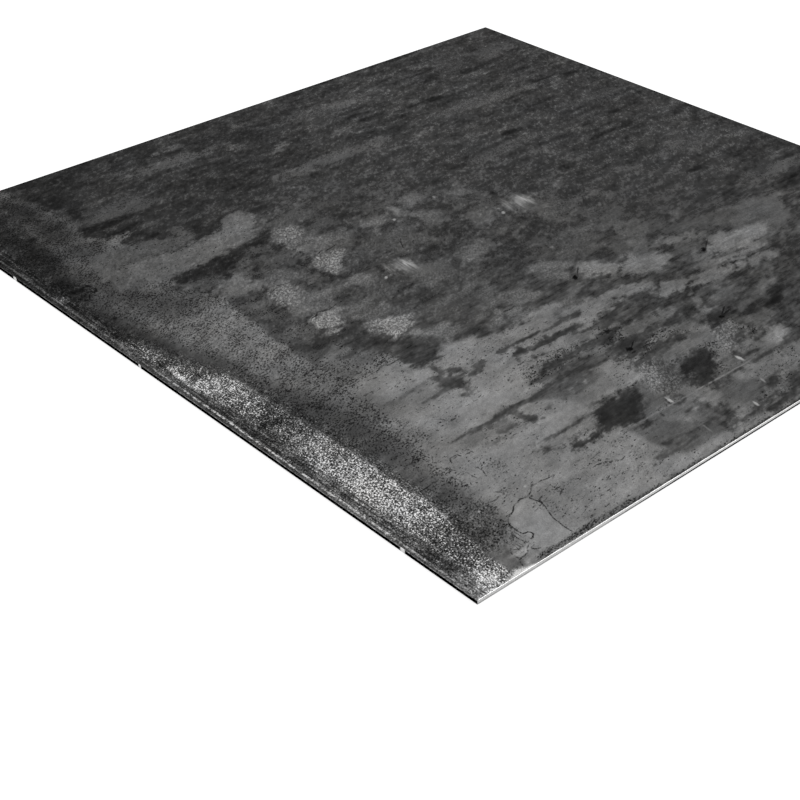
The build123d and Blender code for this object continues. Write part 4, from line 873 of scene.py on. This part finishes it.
    quads = np.concatenate(quads)
    tris = np.array(tris)
    mesh = bpy.data.meshes.new("mill_plate")
    nq, nt = len(quads), len(tris)
    mesh.vertices.add(len(pts))
    world = pts.copy()
    world[:, 0] -= HALF
    world[:, 1] -= HALF
    mesh.vertices.foreach_set("co", (world * 0.001).ravel())
    mesh.loops.add(nq * 4 + nt * 3)
    mesh.polygons.add(nq + nt)
    mesh.loops.foreach_set("vertex_index", np.concatenate([quads.ravel(), tris.ravel()]).astype(np.int32))
    starts = np.concatenate([np.arange(nq) * 4, nq * 4 + np.arange(nt) * 3]).astype(np.int32)
    mesh.polygons.foreach_set("loop_start", starts)
    mesh.update(calc_edges=True)
    mesh.polygons.foreach_set("material_index", np.concatenate(mats_q + [np.array(mats_t)]).astype(np.int32))
    mesh.polygons.foreach_set("use_smooth", np.ones(nq + nt, bool))
    bad = mesh.validate(verbose=False)
    if bad:
        raise RuntimeError("plate mesh was not clean")

    # finish masks
    F = fields(pts[:, 0], pts[:, 1])
    F["seam"], F["seam_on"] = seams(pts[:, 0], pts[:, 1])
    n_all = len(pts)
    rim = np.zeros(n_all)
    rim[ring_at[1]:under_at] = 1.0
    rim[ring_at[0]:ring_at[1]] = 0.35
    side_a = np.zeros(n_all)
    for at in ring_at:
        side_a[at:at + M] = lit_side_paint
    F["rim"] = rim
    # mask of the sides painted as lit (1) and the sides painted in shade (0)
    F["cut"] = side_a
    for name, values in F.items():
        layer = mesh.attributes.new(name, "FLOAT", "POINT")
        layer.data.foreach_set("value", np.asarray(values, dtype=np.float32))
    ob = bpy.data.objects.new("mill_plate", mesh)
    bpy.context.scene.collection.objects.link(ob)
    return ob


# how a painted tone becomes the base colour under this studio's light
LIT = 0.99
DIM = 0.005
FRAY = 17.0         # mm of fraying for the full span of the noise


# ------------------------------------------------------------------ node helpers
class Net:
    def __init__(self, name):
        self.mat = bpy.data.materials.new(name)
        self.mat.use_nodes = True
        self.t = self.mat.node_tree
        self.t.nodes.clear()
        self.out = self.t.nodes.new("ShaderNodeOutputMaterial")
        self.bsdf = self.t.nodes.new("ShaderNodeBsdfPrincipled")
        self.t.links.new(self.bsdf.outputs[0], self.out.inputs["Surface"])
        co = self.t.nodes.new("ShaderNodeTexCoord")
        self.obj = co.outputs["Object"]
        mm = self.t.nodes.new("ShaderNodeVectorMath")
        mm.operation = "SCALE"
        mm.inputs["Scale"].default_value = 1000.0
        self.t.links.new(self.obj, mm.inputs[0])
        self.mm = mm.outputs[0]
        sep = self.t.nodes.new("ShaderNodeSeparateXYZ")
        self.t.links.new(self.mm, sep.inputs[0])
        self.x, self.y, self.z = sep.outputs

    def put(self, sock, value):
        if isinstance(value, (int, float)):
            sock.default_value = value
        elif isinstance(value, (tuple, list)):
            sock.default_value = value
        else:
            self.t.links.new(value, sock)

    def attr(self, name):
        n = self.t.nodes.new("ShaderNodeAttribute")
        n.attribute_name = name
        return n.outputs["Fac"]

    def m(self, op, a, b=0.0, c=0.0, clamp=False):
        n = self.t.nodes.new("ShaderNodeMath")
        n.operation = op
        n.use_clamp = clamp
        self.put(n.inputs[0], a)
        self.put(n.inputs[1], b)
        self.put(n.inputs[2], c)
        return n.outputs[0]

    def add(self, a, b): return self.m("ADD", a, b)
    def mul(self, a, b): return self.m("MULTIPLY", a, b)
    def mad(self, a, b, c): return self.m("MULTIPLY_ADD", a, b, c)
    def sub(self, a, b): return self.m("SUBTRACT", a, b)

    def stretch(self, sx, sy, sz=1.0, deg=0.0, shift=(0.0, 0.0, 0.0)):
        """Plate millimetres, turned about Z, then divided by (sx, sy, sz)."""
        n = self.t.nodes.new("ShaderNodeMapping")
        n.vector_type = "TEXTURE"
        n.inputs["Location"].default_value = shift
        n.inputs["Rotation"].default_value = (0.0, 0.0, math.radians(deg))
        n.inputs["Scale"].default_value = (sx, sy, sz)
        self.put(n.inputs["Vector"], self.mm)
        return n.outputs[0]

    def noise(self, vec, detail=2.0, rough=0.5, dist=0.0, lac=2.0):
        n = self.t.nodes.new("ShaderNodeTexNoise")
        n.noise_dimensions = "3D"
        n.inputs["Scale"].default_value = 1.0
        n.inputs["Detail"].default_value = detail
        n.inputs["Roughness"].default_value = rough
        n.inputs["Lacunarity"].default_value = lac
        n.inputs["Distortion"].default_value = dist
        self.put(n.inputs["Vector"], vec)
        return n.outputs[0]

    def cells(self, vec, feature="F1", rand=1.0):
        n = self.t.nodes.new("ShaderNodeTexVoronoi")
        n.voronoi_dimensions = "2D"
        n.feature = feature
        n.inputs["Scale"].default_value = 1.0
        n.inputs["Randomness"].default_value = rand
        self.put(n.inputs["Vector"], vec)
        return n

    def split(self, color):
        n = self.t.nodes.new("ShaderNodeSeparateColor")
        self.put(n.inputs[0], color)
        return n.outputs[0], n.outputs[1]

    def wander(self, amount):
        """Plate millimetres pushed about by up to amount."""
        n = self.t.nodes.new("ShaderNodeTexNoise")
        n.noise_dimensions = "3D"
        n.inputs["Scale"].default_value = 1.0
        n.inputs["Detail"].default_value = 2.0
        self.put(n.inputs["Vector"], self.stretch(3.0, 2.2, 3.0, shift=(4, 1, 6)))
        m = self.t.nodes.new("ShaderNodeVectorMath")
        m.operation = "MULTIPLY_ADD"
        self.put(m.inputs[0], n.outputs["Color"])
        m.inputs[1].default_value = (4.0 * amount, 4.0 * amount, 0.0)
        off = self.t.nodes.new("ShaderNodeVectorMath")
        off.operation = "SUBTRACT"
        self.put(off.inputs[0], self.mm)
        off.inputs[1].default_value = (2.0 * amount, 2.0 * amount, 0.0)
        self.put(m.inputs[2], off.outputs[0])
        return m.outputs[0]

    def blob(self, vec, cv, cu, rv, ru, deg, lo=0.45, hi=1.35):
        """Soft ellipse about a plate point, 1 at its centre."""
        n = self.t.nodes.new("ShaderNodeMapping")
        n.vector_type = "TEXTURE"
        n.inputs["Location"].default_value = (cv - 304.8, cu - 304.8, 3.175)
        n.inputs["Rotation"].default_value = (0.0, 0.0, math.radians(deg))
        n.inputs["Scale"].default_value = (rv, ru, 100.0)
        self.put(n.inputs["Vector"], vec)
        m = self.t.nodes.new("ShaderNodeVectorMath")
        m.operation = "LENGTH"
        self.put(m.inputs[0], n.outputs[0])
        return self.remap(m.outputs["Value"], lo, hi, 1.0, 0.0)

    def remap(self, v, a, b, c=0.0, d=1.0, kind="SMOOTHSTEP"):
        n = self.t.nodes.new("ShaderNodeMapRange")
        n.interpolation_type = kind
        self.put(n.inputs["Value"], v)
        n.inputs["From Min"].default_value = a
        n.inputs["From Max"].default_value = b
        n.inputs["To Min"].default_value = c
        n.inputs["To Max"].default_value = d
        return n.outputs[0]

    def mixf(self, f, a, b):
        n = self.t.nodes.new("ShaderNodeMix")
        n.data_type = "FLOAT"
        self.put(n.inputs[0], f)
        self.put(n.inputs[2], a)
        self.put(n.inputs[3], b)
        return n.outputs[0]

    def tint(self, level, warm):
        """A near-neutral colour of linear brightness level; warm in 0 .. 1 leans it."""
        n = self.t.nodes.new("ShaderNodeCombineColor")
        self.put(n.inputs[0], self.mul(level, self.remap(warm, 0, 1, 0.985, 1.02, "LINEAR")))
        self.put(n.inputs[1], level)
        self.put(n.inputs[2], self.mul(level, self.remap(warm, 0, 1, 1.02, 0.97, "LINEAR")))
        return n.outputs[0]

    def bump(self, height, strength, distance, normal=None):
        n = self.t.nodes.new("ShaderNodeBump")
        n.inputs["Strength"].default_value = strength
        n.inputs["Distance"].default_value = distance
        self.put(n.inputs["Height"], height)
        if normal is not None:
            self.put(n.inputs["Normal"], normal)
        return n.outputs[0]

    def done(self, color, roughness, normal, metallic, specular=0.25, slant=1.0):
        self.put(self.bsdf.inputs["Base Color"], color)
        self.put(self.bsdf.inputs["Roughness"], roughness)
        self.put(self.bsdf.inputs["Metallic"], metallic)
        self.bsdf.inputs["Specular IOR Level"].default_value = specular
        self.bsdf.inputs["Specular Tint"].default_value = (slant, slant, slant, 1.0)
        if normal is not None:
            self.put(self.bsdf.inputs["Normal"], normal)
        return self.mat


# two sets of smears wiped across the rolling direction: (v, u, half length, half
# width, turn, tone, amount)
SMEARS = [
    (226.1, 291.3, 15, 7.5, 88, 106, .60), (229.3, 283.0, 9, 5.5, -75, 100, .5), (239.7, 284.7, 9, 6.5, 32, 94, .5),
    (208.7, 304.2, 9, 3.2, 81, 132, .85), (216.6, 300.7, 10.5, 4.6, 88, 150, .85), (224.0, 302.6, 11, 4.6, -85, 178, .90),
    (361.6, 307.6, 15, 8, 76, 110, .60), (346.0, 318.9, 12, 3.8, 69, 142, .85), (355.8, 316.3, 11.5, 5.0, 77, 156, .85),
    (364.4, 318.7, 11, 5.4, -89, 184, .90), (367.7, 297.6, 2.6, 2.3, 20, 125, .7),
]

# small crisp features, in the same order of values
FEATURES = [
    # bright drops, strokes and specks
    (198.9, 296.8, 1.9, 1.4, 49, 168, .9), (334.9, 312.4, 2.6, 1.6, 43, 165, .9), (264.0, 360.5, 2.1, 1.5, 45, 162, .9), (313.5, 368.0, 2.2, 1.7, 45, 150, .9),
    (300.3, 57.3, 4.0, 1.5, 90, 185, .85), (226.6, 56.1, 4.1, 1.3, 84, 185, .85), (264.3, 16.5, 3.0, 1.2, 80, 170, .85),
    (290.0, 30.4, 2.9, 1.0, 74, 140, .8), (219.5, 20.1, 5.2, .9, 80, 118, .6), (223.1, 33.3, 5.8, 1.5, 85, 112, .5),
    # crawling dark outline near the left edge
    (31.9, 430.7, 3.1, 1.1, -60, 22, .85), (33.0, 421.9, 2.9, .7, 66, 22, .85), (26.2, 429.0, 3.5, .8, 49, 22, .85), (27.7, 422.8, 3.2, 1.1, -16, 26, .7),
    (19.5, 414.0, 2.2, 1.2, -5, 18, .9), (24.2, 416.4, 3.7, .7, 58, 18, .9), (20.5, 420.7, 3.2, .7, 62, 26, .7), (18.7, 429.0, 2.8, 1.2, -84, 16, .9),
    (13.3, 434.9, 2.4, 1.1, 24, 18, .85), (13.8, 425.8, 1.5, 1.2, -68, 20, .8),
    (228.0, 58.5, 2.2, 1.5, 35, 126, .8), (60, 434, 1.5, 1.2, 40, 118, .8), (41.5, 237, 1.5, 1.2, 40, 120, .8),
    (55, 55, 1.1, .9, 40, 150, .9), (92, 54, 1.1, .9, 40, 150, .9), (49, 11.5, 1.2, 1.0, 40, 150, .9),
    # dark pecks with short strokes
    (342.0, 100.8, 6.7, .8, 10, 28, .85), (341.3, 103.3, 6.9, .7, 31, 28, .85), (334.2, 99.0, 2.5, 2.0, 21, 8, .95), (330.6, 101.9, 4.1, 1.9, -64, 52, .6),
    (259.8, 116.1, 6.3, .6, 31, 26, .85), (254.4, 114.1, 2.8, 2.0, 34, 8, .95), (254.8, 118.9, 4.1, 1.2, 83, 50, .7), (254.0, 109.4, 2.8, .9, 6, 30, .8),
    (300.4, 205.0, 2.8, 1.66, 41, 8, .95), (309.3, 210.9, 6.8, .6, 40, 44, .8),
    (402.9, 169.4, 3.0, 1.7, 35, 8, .95), (411.8, 174.2, 8.0, .6, 33, 40, .8),
    (261.0, 139.6, 3.5, 2.1, 17, 18, .85), (380.7, 88.2, 8.9, 3.6, 11, 26, .7),
]


def face_material():
    k = Net("mill_scale_face")
    width, rag, gran, dots = k.attr("width"), k.attr("rag"), k.attr("gran"), k.attr("dots")
    strk, glit, dark = k.attr("strk"), k.attr("glit"), k.attr("dark")
    v, u = k.add(k.x, 304.8), k.add(k.y, 304.8)

    # light film over dark scale: its border is frayed by several sizes of noise
    along = k.sub(k.noise(k.stretch(14, 4.2, 6), 4.0, 0.62), 0.5)
    blot = k.sub(k.noise(k.stretch(8.0, 4.4, 5, deg=42, shift=(3, 8, 4)), 4.0, 0.60), 0.5)
    mott = k.sub(k.noise(k.stretch(6.2, 3.6, 4, deg=42, shift=(11, 2, 7)), 3.0, 0.60), 0.5)
    deep = k.mad(k.mul(k.add(along, blot), rag), FRAY, k.attr("edge"))
    film = k.remap(k.m("DIVIDE", deep, width), -1.0, 1.0)
    soft = k.sub(k.noise(k.stretch(16, 6.5, 6, deg=6, shift=(7, 30, 1)), 1.5, 0.45), 0.5)
    small = k.sub(k.noise(k.stretch(7.5, 2.8, 3, deg=9, shift=(2, 44, 5)), 2.0, 0.5), 0.5)
    drawn = k.remap(u, 190, 290, 1.0, 0.25)          # how far the scale is drawn out by rolling
    veil = k.remap(k.mad(small, 11.0, deep), -6.5, 7.0)
    share = k.mad(film, 0.76, k.mul(veil, 0.24))
    p = k.mad(k.sub(k.attr("light"), dark), share, dark)

    # unevenness of the scale, as shares of its own tone
    cloud = k.sub(k.noise(k.stretch(22, 12, 8, deg=20, shift=(5, 60, 2)), 2.0, 0.6), 0.5)
    fine = k.sub(k.noise(k.stretch(3.0, 1.9, 3, deg=42, shift=(40, 3, 9)), 2.0, 0.6), 0.5)
    grain = k.sub(k.noise(k.stretch(1.0, 0.8, 1, deg=40), 1.0, 0.6), 0.5)
    roll = k.sub(k.noise(k.stretch(12, 1.5, 1), 2.0, 0.6), 0.5)
    e = k.mul(cloud, k.mad(film, -0.35, 0.75))
    e = k.mad(k.mul(soft, k.mad(strk, 0.35, 0.65)), k.mad(film, -0.58, 0.80), e)
    e = k.mad(k.mul(k.mul(small, k.mad(strk, 0.65, 0.35)), drawn), k.mad(film, -0.65, 0.95), e)
    e = k.mad(mott, k.mad(film, -0.30, k.mad(drawn, -0.35, 0.80)), e)
    e = k.mad(fine, k.mad(drawn, -0.44, 0.66), e)
    clump = k.remap(k.noise(k.stretch(4.6, 2.7, 3, deg=42, shift=(21, 6, 2)), 2.0, 0.6), 0.50, 0.68)
    e = k.mad(clump, k.mul(k.mad(film, -0.8, 1.0), k.mad(drawn, -0.32, 0.36)), e)
    e = k.mad(grain, k.mad(film, 0.12, k.mad(dots, 0.15, 0.16)), e)
    e = k.mad(k.mul(k.mul(roll, strk), k.mad(drawn, 0.75, 0.15)), 0.42, e)

    # dark pits: single ones, then a dense peppering
    thin = k.noise(k.stretch(13, 11, 9, shift=(31, 7, 2)), 2.0, 0.6)
    want = k.mul(dots, k.remap(thin, 0.36, 0.64, 0.45, 1.25, "LINEAR"))
    c2 = k.cells(k.stretch(2.9, 1.7, 50, deg=20))
    r1, r2 = k.split(c2.outputs["Color"])
    pit = k.remap(k.sub(c2.outputs["Distance"], k.mad(r2, 0.20, 0.10)), -0.11, 0.11, 1.0, 0.0)
    pit = k.mul(pit, k.remap(k.sub(k.mul(want, 0.62), r1), -0.02, 0.20))
    fleck = k.noise(k.stretch(5.0, 1.5, 3, deg=7, shift=(1, 19, 4)), 3.0, 0.68, 0.5)
    fleck = k.mul(k.remap(k.mad(want, 0.085, fleck), 0.640, 0.685), k.mul(k.remap(dots, 0.02, 0.20), k.mad(drawn, 0.8, 0.2)))
    pepper = k.noise(k.stretch(2.0, 1.3, 2, deg=42, shift=(2, 9, 1)), 1.0, 0.5)
    pepper = k.mul(k.remap(k.mad(want, 0.12, pepper), 0.61, 0.70), k.remap(want, 0.15, 0.7))
    e = k.mad(pit, -1.0, k.mad(pepper, -0.44, e))
    e = k.mad(fleck, k.mad(film, -0.60, -0.10), e)

    # crumbly flakes on the pale patches
    crumb = k.remap(k.noise(k.stretch(2.3, 1.6, 2, deg=42, shift=(7, 5, 3)), 3.0, 0.75, 0.2), 0.34, 0.64, -1.1, 0.75)
    e = k.mad(k.mul(crumb, k.mul(gran, share)), 0.34, e)

    # grainy strip: dark grains, and light grains painted as glints
    salt = k.sub(k.noise(k.stretch(0.85, 0.85, 1), 0.0, 0.5), 0.5)
    salt2 = k.sub(k.noise(k.stretch(1.7, 1.25, 1, deg=42, shift=(9, 4, 0)), 1.0, 0.5), 0.5)
    grain_glint_noise = k.mad(salt2, 0.9, k.mul(salt, 0.9))
    lines = k.sub(k.noise(k.stretch(1.1, 7.0, 1, deg=-4, shift=(3, 5, 0)), 1.0, 0.5), 0.5)
    drift = k.sub(k.noise(k.stretch(5.5, 9.0, 3, deg=-8, shift=(12, 2, 0)), 3.0, 0.6), 0.5)
    grain_glint_noise = k.mad(lines, 0.30, k.mad(drift, 0.34, grain_glint_noise))
    e = k.mad(k.mul(grain_glint_noise, glit), 3.6, k.sub(e, k.mul(glit, 0.20)))
    # fine lines worn along the left side
    rule = k.sub(k.noise(k.stretch(1.5, 30, 1), 1.5, 0.5), 0.5)
    beside = k.mul(k.remap(v, 2.6, 3.6), k.remap(v, 8.0, 17.0, 1.0, 0.0))
    e = k.mad(k.mul(rule, beside), 2.2, e)

    # fine dark outlines where a skin of scale ends
    wob = k.mul(k.sub(k.noise(k.stretch(1.7, 1.7, 1), 2.0, 0.6), 0.5), 1.0)
    off = k.m("ABSOLUTE", k.add(k.attr("seam"), wob))
    gaps = k.remap(k.noise(k.stretch(3.0, 3.0, 2, shift=(6, 2, 2)), 2.0, 0.6), 0.38, 0.58, 0.15, 1.0)
    beads = k.remap(k.noise(k.stretch(1.3, 1.0, 1, deg=42, shift=(5, 1, 8)), 1.0, 0.5), 0.36, 0.56, 0.35, 1.35)
    seam = k.mul(k.remap(off, 0.15, 0.75, 1.0, 0.0), k.mul(k.attr("seam_on"), k.mul(gaps, beads)))
    e = k.sub(e, k.mul(seam, 1.05))
    p = k.mul(p, k.m("EXPONENT", e))

    # small features, drawn with a slightly wandering outline
    astray = k.wander(1.5)
    comb = k.remap(k.noise(k.stretch(1.7, 15, 2, deg=-8, shift=(2, 2, 9)), 1.0, 0.5), 0.36, 0.62, 0.6, 1.15)
    for cv, cu, rv, ru, deg, tone, amount in SMEARS:
        p = k.mixf(k.mul(k.mul(k.blob(astray, cv, cu, rv, ru, deg, 0.0, 1.5), comb), amount), p, tone / 255.0)
    steady = k.wander(0.35)
    for cv, cu, rv, ru, deg, tone, amount in FEATURES:
        where = steady if min(rv, ru) < 1.65 else astray
        p = k.mixf(k.mul(k.blob(where, cv, cu, rv, ru, deg), amount), p, tone / 255.0)

    # bright scratch along the rolling direction, with its breaks
    lane = k.m("ABSOLUTE", k.sub(u, k.mad(v, -0.016, 55.6)))
    reach = k.mul(k.remap(v, 182, 190), k.remap(v, 296, 308, 1.0, 0.0))
    shine = k.mul(k.remap(lane, 0.35, 1.05, 1.0, 0.0), k.mul(reach, k.remap(k.noise(k.stretch(9, 3, 2), 3.0, 0.6), 0.40, 0.60, 0.25, 1.0)))
    p = k.mixf(k.mul(shine, 0.75), p, 0.52)

    # left arris: a dark line at 0.7 mm, then a painted highlight line that comes and goes
    at = k.m("ABSOLUTE", k.sub(v, 0.70))
    p = k.mixf(k.mul(k.remap(at, 0.20, 0.70, 1.0, 0.0), 0.5), p, 0.26)
    strength = k.mul(k.remap(u, 15, 90, 0.4, 1.0), k.remap(u, 250, 340, 1.0, 0.40))
    at = k.m("ABSOLUTE", k.sub(v, k.mad(u, 0.0045, 2.0)))
    broken = k.remap(k.noise(k.stretch(1.2, 1.9, 2), 3.0, 0.6), 0.40, 0.60, 0.05, 1.0)
    # painted highlight line inside the left arris
    p = k.mixf(k.mul(k.mul(k.remap(at, 0.40, 1.15, 1.0, 0.0), broken), strength), p, 0.82)

    # front arris: a painted highlight along the rollover, with a thin dark line inside it further along
    at = k.m("ABSOLUTE", k.sub(u, 0.85))
    arris_noise = k.noise(k.stretch(16, 4, 2, shift=(3, 3, 3)), 3.0, 0.6)
    line_ = k.mul(k.remap(at, 0.25, 0.75, 1.0, 0.0), k.mul(k.remap(v, 84, 112), k.remap(arris_noise, 0.36, 0.56, 0.35, 1.0)))
    p = k.mixf(k.mul(line_, 0.8), p, 0.20)
    # painted highlight along the front arris
    p = k.mixf(k.remap(k.mad(k.sub(arris_noise, 0.5), 0.7, u), 0.12, 0.42, 1.0, 0.0), p, 0.82)
    p = k.m("MAXIMUM", p, 0.03)
    p = k.m("MINIMUM", p, 0.97)

    level = k.m("MAXIMUM", k.mad(k.m("POWER", p, 2.2), LIT, DIM), 0.001)
    warm = k.noise(k.stretch(40, 30, 30), 2.0, 0.5)
    color = k.tint(level, warm)
    rough = k.mad(k.sub(0.55, p), 0.35, 0.46)
    rough = k.mad(mott, 0.22, rough)
    rough = k.mad(glit, -0.08, rough)
    h = k.mad(mott, 0.5, k.mul(fine, 0.35))
    h = k.mad(grain, 0.3, h)
    h = k.mad(k.mul(roll, strk), 0.3, h)
    h = k.mad(k.mul(crumb, gran), 0.35, h)
    h = k.mad(k.mul(grain_glint_noise, glit), 1.3, h)
    h = k.mad(film, 0.5, h)
    h = k.mad(pit, -0.6, k.mad(pepper, -0.3, h))
    h = k.sub(h, k.mul(seam, 0.8))
    normal = k.bump(h, 0.35, 0.00010)
    return k.done(color, k.m("MINIMUM", rough, 0.8), normal, 0.88, 0.05, 0.0)


def edge_material():
    """Sheared edge: a burnished land above, a torn zone below. The two sides that run
    along X are painted bright as lit faces; on the other two the torn zone is painted black as shade."""
    k = Net("sheared_edge")
    v = k.add(k.x, 304.8)
    # sides painted as lit against sides painted in shade
    cut = k.remap(k.attr("cut"), 0.35, 0.75)
    grain = k.noise(k.stretch(0.5, 0.5, 3.0), 2.0, 0.6)      # upright shear marks
    torn = k.noise(k.stretch(1.2, 1.2, 0.5), 3.0, 0.65)
    slow = k.noise(k.stretch(9, 9, 1.2), 3.0, 0.6)
    # bright sides, painted as lit faces: the land above, and a darker foot below that is partly the torn zone, partly a
    # painted contact shadow
    high = k.remap(v, 120, 230, 0.0, 0.22)
    low = k.remap(k.sub(k.mad(k.sub(slow, 0.5), 0.6, k.z), high), 1.00, 1.25, 1.0, 0.0)
    foot = k.remap(k.mad(k.sub(slow, 0.5), 60.0, v), 90, 170, 0.58, 0.0)
    lit_side_paint = k.mixf(low, k.mad(k.sub(grain, 0.5), 0.24, k.remap(v, 60, 130, 0.70, 0.72)), k.mad(k.sub(torn, 0.5), 0.6, foot))
    # black sides: the torn zone painted black as shade, a paler land above it
    land = k.remap(k.mad(k.sub(slow, 0.5), 0.5, k.mad(k.add(k.y, 304.8), -0.0009, k.z)), 2.25, 2.50)
    pale = k.mad(k.sub(k.noise(k.stretch(1.5, 2.2, 1.5), 3.0, 0.65), 0.5), 1.3, 0.46)
    shade_side_paint = k.mixf(land, 0.0, pale)
    for x, y, r in [(-304.8, at[1] - 304.8, half * 1.3) for at, _, half, _ in NICKS if at[0] == 0.0]:
        n = k.t.nodes.new("ShaderNodeVectorMath")
        n.operation = "DISTANCE"
        k.put(n.inputs[0], k.mm)
        n.inputs[1].default_value = (x, y, 1.4)
        shade_side_paint = k.mixf(k.mul(k.remap(n.outputs["Value"], 0.7 * r, 1.3 * r, 1.0, 0.0), 0.9), shade_side_paint, 0.9)
    p = k.m("MAXIMUM", k.mixf(cut, shade_side_paint, lit_side_paint), 0.0)
    level = k.mul(k.m("POWER", p, 2.2), 0.98)
    color = k.tint(level, torn)
    rough = k.mixf(low, 0.38, 0.62)
    h = k.mad(torn, k.mul(low, 1.0), k.mul(grain, 0.5))
    metal = k.remap(p, 0.05, 0.30, 0.0, 0.8)
    return k.done(color, rough, k.bump(h, 0.5, 0.00010), metal, 0.0)


def under_material():
    k = Net("mill_scale_under")
    cloud = k.sub(k.noise(k.stretch(70, 26, 20), 3.0, 0.6), 0.5)
    patch = k.sub(k.noise(k.stretch(13, 5, 5, deg=8), 4.0, 0.6), 0.5)
    roll = k.sub(k.noise(k.stretch(40, 1.4, 1), 2.0, 0.55), 0.5)
    grain = k.sub(k.noise(k.stretch(1.5, 1.2, 1.2), 1.0, 0.5), 0.5)
    p = k.mad(k.remap(k.add(cloud, k.mul(patch, 0.7)), 0.02, 0.16), 0.20, 0.25)
    p = k.mad(patch, 0.12, p)
    p = k.mad(roll, 0.10, p)
    p = k.mad(grain, 0.05, p)
    c = k.cells(k.stretch(4.6, 3.8, 4, deg=35))
    specks = k.remap(c.outputs["Distance"], 0.15, 0.32, 1.0, 0.0)
    specks = k.mul(specks, k.remap(k.noise(k.stretch(50, 50, 50, shift=(8, 2, 1)), 2.0, 0.5), 0.45, 0.6))
    p = k.sub(p, k.mul(specks, 0.10))
    level = k.m("POWER", k.m("MAXIMUM", p, 0.10), 2.2)
    color = k.tint(level, k.noise(k.stretch(40, 30, 30), 2.0, 0.5))
    rough = k.mad(patch, 0.3, 0.5)
    h = k.mad(patch, 0.5, k.mad(roll, 0.4, k.mul(grain, 0.35)))
    h = k.sub(h, k.mul(specks, 0.8))
    return k.done(color, rough, k.bump(h, 0.35, 0.00010), 0.72)


NICKS = [
    ((0.0, 60.0), 0, 1.6, 0.30),
    ((0.0, 319.0), 0, 1.2, 0.22),
    ((0.0, 478.0), 0, 1.8, 0.18),
    ((157.0, 0.0), 0, 1.3, 0.20),
]

plate = build_plate()
plate.data.materials.append(face_material())
plate.data.materials.append(edge_material())
plate.data.materials.append(under_material())
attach(plate, "root")
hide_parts("steel_plate")


# ------------------------------------------------------------------ studio
def floor():
    n, half = 24, 6.0
    line_ = np.linspace(-half, half, n + 1)
    X, Y = np.meshgrid(line_, line_, indexing="ij")
    co = np.column_stack([X.ravel(), Y.ravel(), np.zeros(X.size)])
    idx = np.arange((n + 1) ** 2).reshape(n + 1, n + 1)
    faces = [(int(idx[i, j]), int(idx[i + 1, j]), int(idx[i + 1, j + 1]), int(idx[i, j + 1]))
             for i in range(n) for j in range(n)]
    me = bpy.data.meshes.new("studio_floor")
    me.from_pydata(co.tolist(), [], faces)
    me.update()
    ob = bpy.data.objects.new("studio_floor", me)
    bpy.context.scene.collection.objects.link(ob)
    mat = bpy.data.materials.new("pale_floor")
    mat.use_nodes = True
    b = mat.node_tree.nodes["Principled BSDF"]
    b.inputs["Base Color"].default_value = (0.35, 0.35, 0.35, 1.0)
    b.inputs["Roughness"].default_value = 0.9
    b.inputs["Specular IOR Level"].default_value = 0.0
    b.inputs["Emission Color"].default_value = (1.0, 1.0, 1.0, 1.0)
    b.inputs["Emission Strength"].default_value = 0.66
    me.materials.append(mat)
    return ob


def softbox(name, place, aim, size, watts):
    data = bpy.data.lights.new(name, "AREA")
    data.shape = "RECTANGLE"
    data.size, data.size_y = size
    data.energy = watts
    ob = bpy.data.objects.new(name, data)
    ob.location = place
    ob.rotation_euler = (Vector(aim) - Vector(place)).to_track_quat("-Z", "Y").to_euler()
    bpy.context.scene.collection.objects.link(ob)
    return ob


floor()
world = bpy.data.worlds.new("studio")
bpy.context.scene.world = world
world.use_nodes = True
world.node_tree.nodes["Background"].inputs[0].default_value = (1.0, 1.0, 1.0, 1.0)
world.node_tree.nodes["Background"].inputs[1].default_value = 0.85
softbox("key", (1.6, -1.9, 1.9), (0, 0, 0), (1.8, 1.8), 45)
softbox("top", (-0.2, 0.3, 2.4), (0, 0, 0), (2.2, 2.2), 30)

bpy.context.scene.view_settings.view_transform = "Standard"
bpy.context.scene.view_settings.look = "None"

cam = bpy.data.cameras.new("camera")
cam.sensor_width = 36.0
cam.lens = 70.4996
cam.clip_start = 0.01
cam_ob = bpy.data.objects.new("camera", cam)
cam_ob.location = (-0.76402, -0.75054, 0.55827)
cam_ob.rotation_euler = (math.radians(90.0 - 33.7043), 0.0, math.radians(-42.1255))
bpy.context.scene.collection.objects.link(cam_ob)
bpy.context.scene.camera = cam_ob
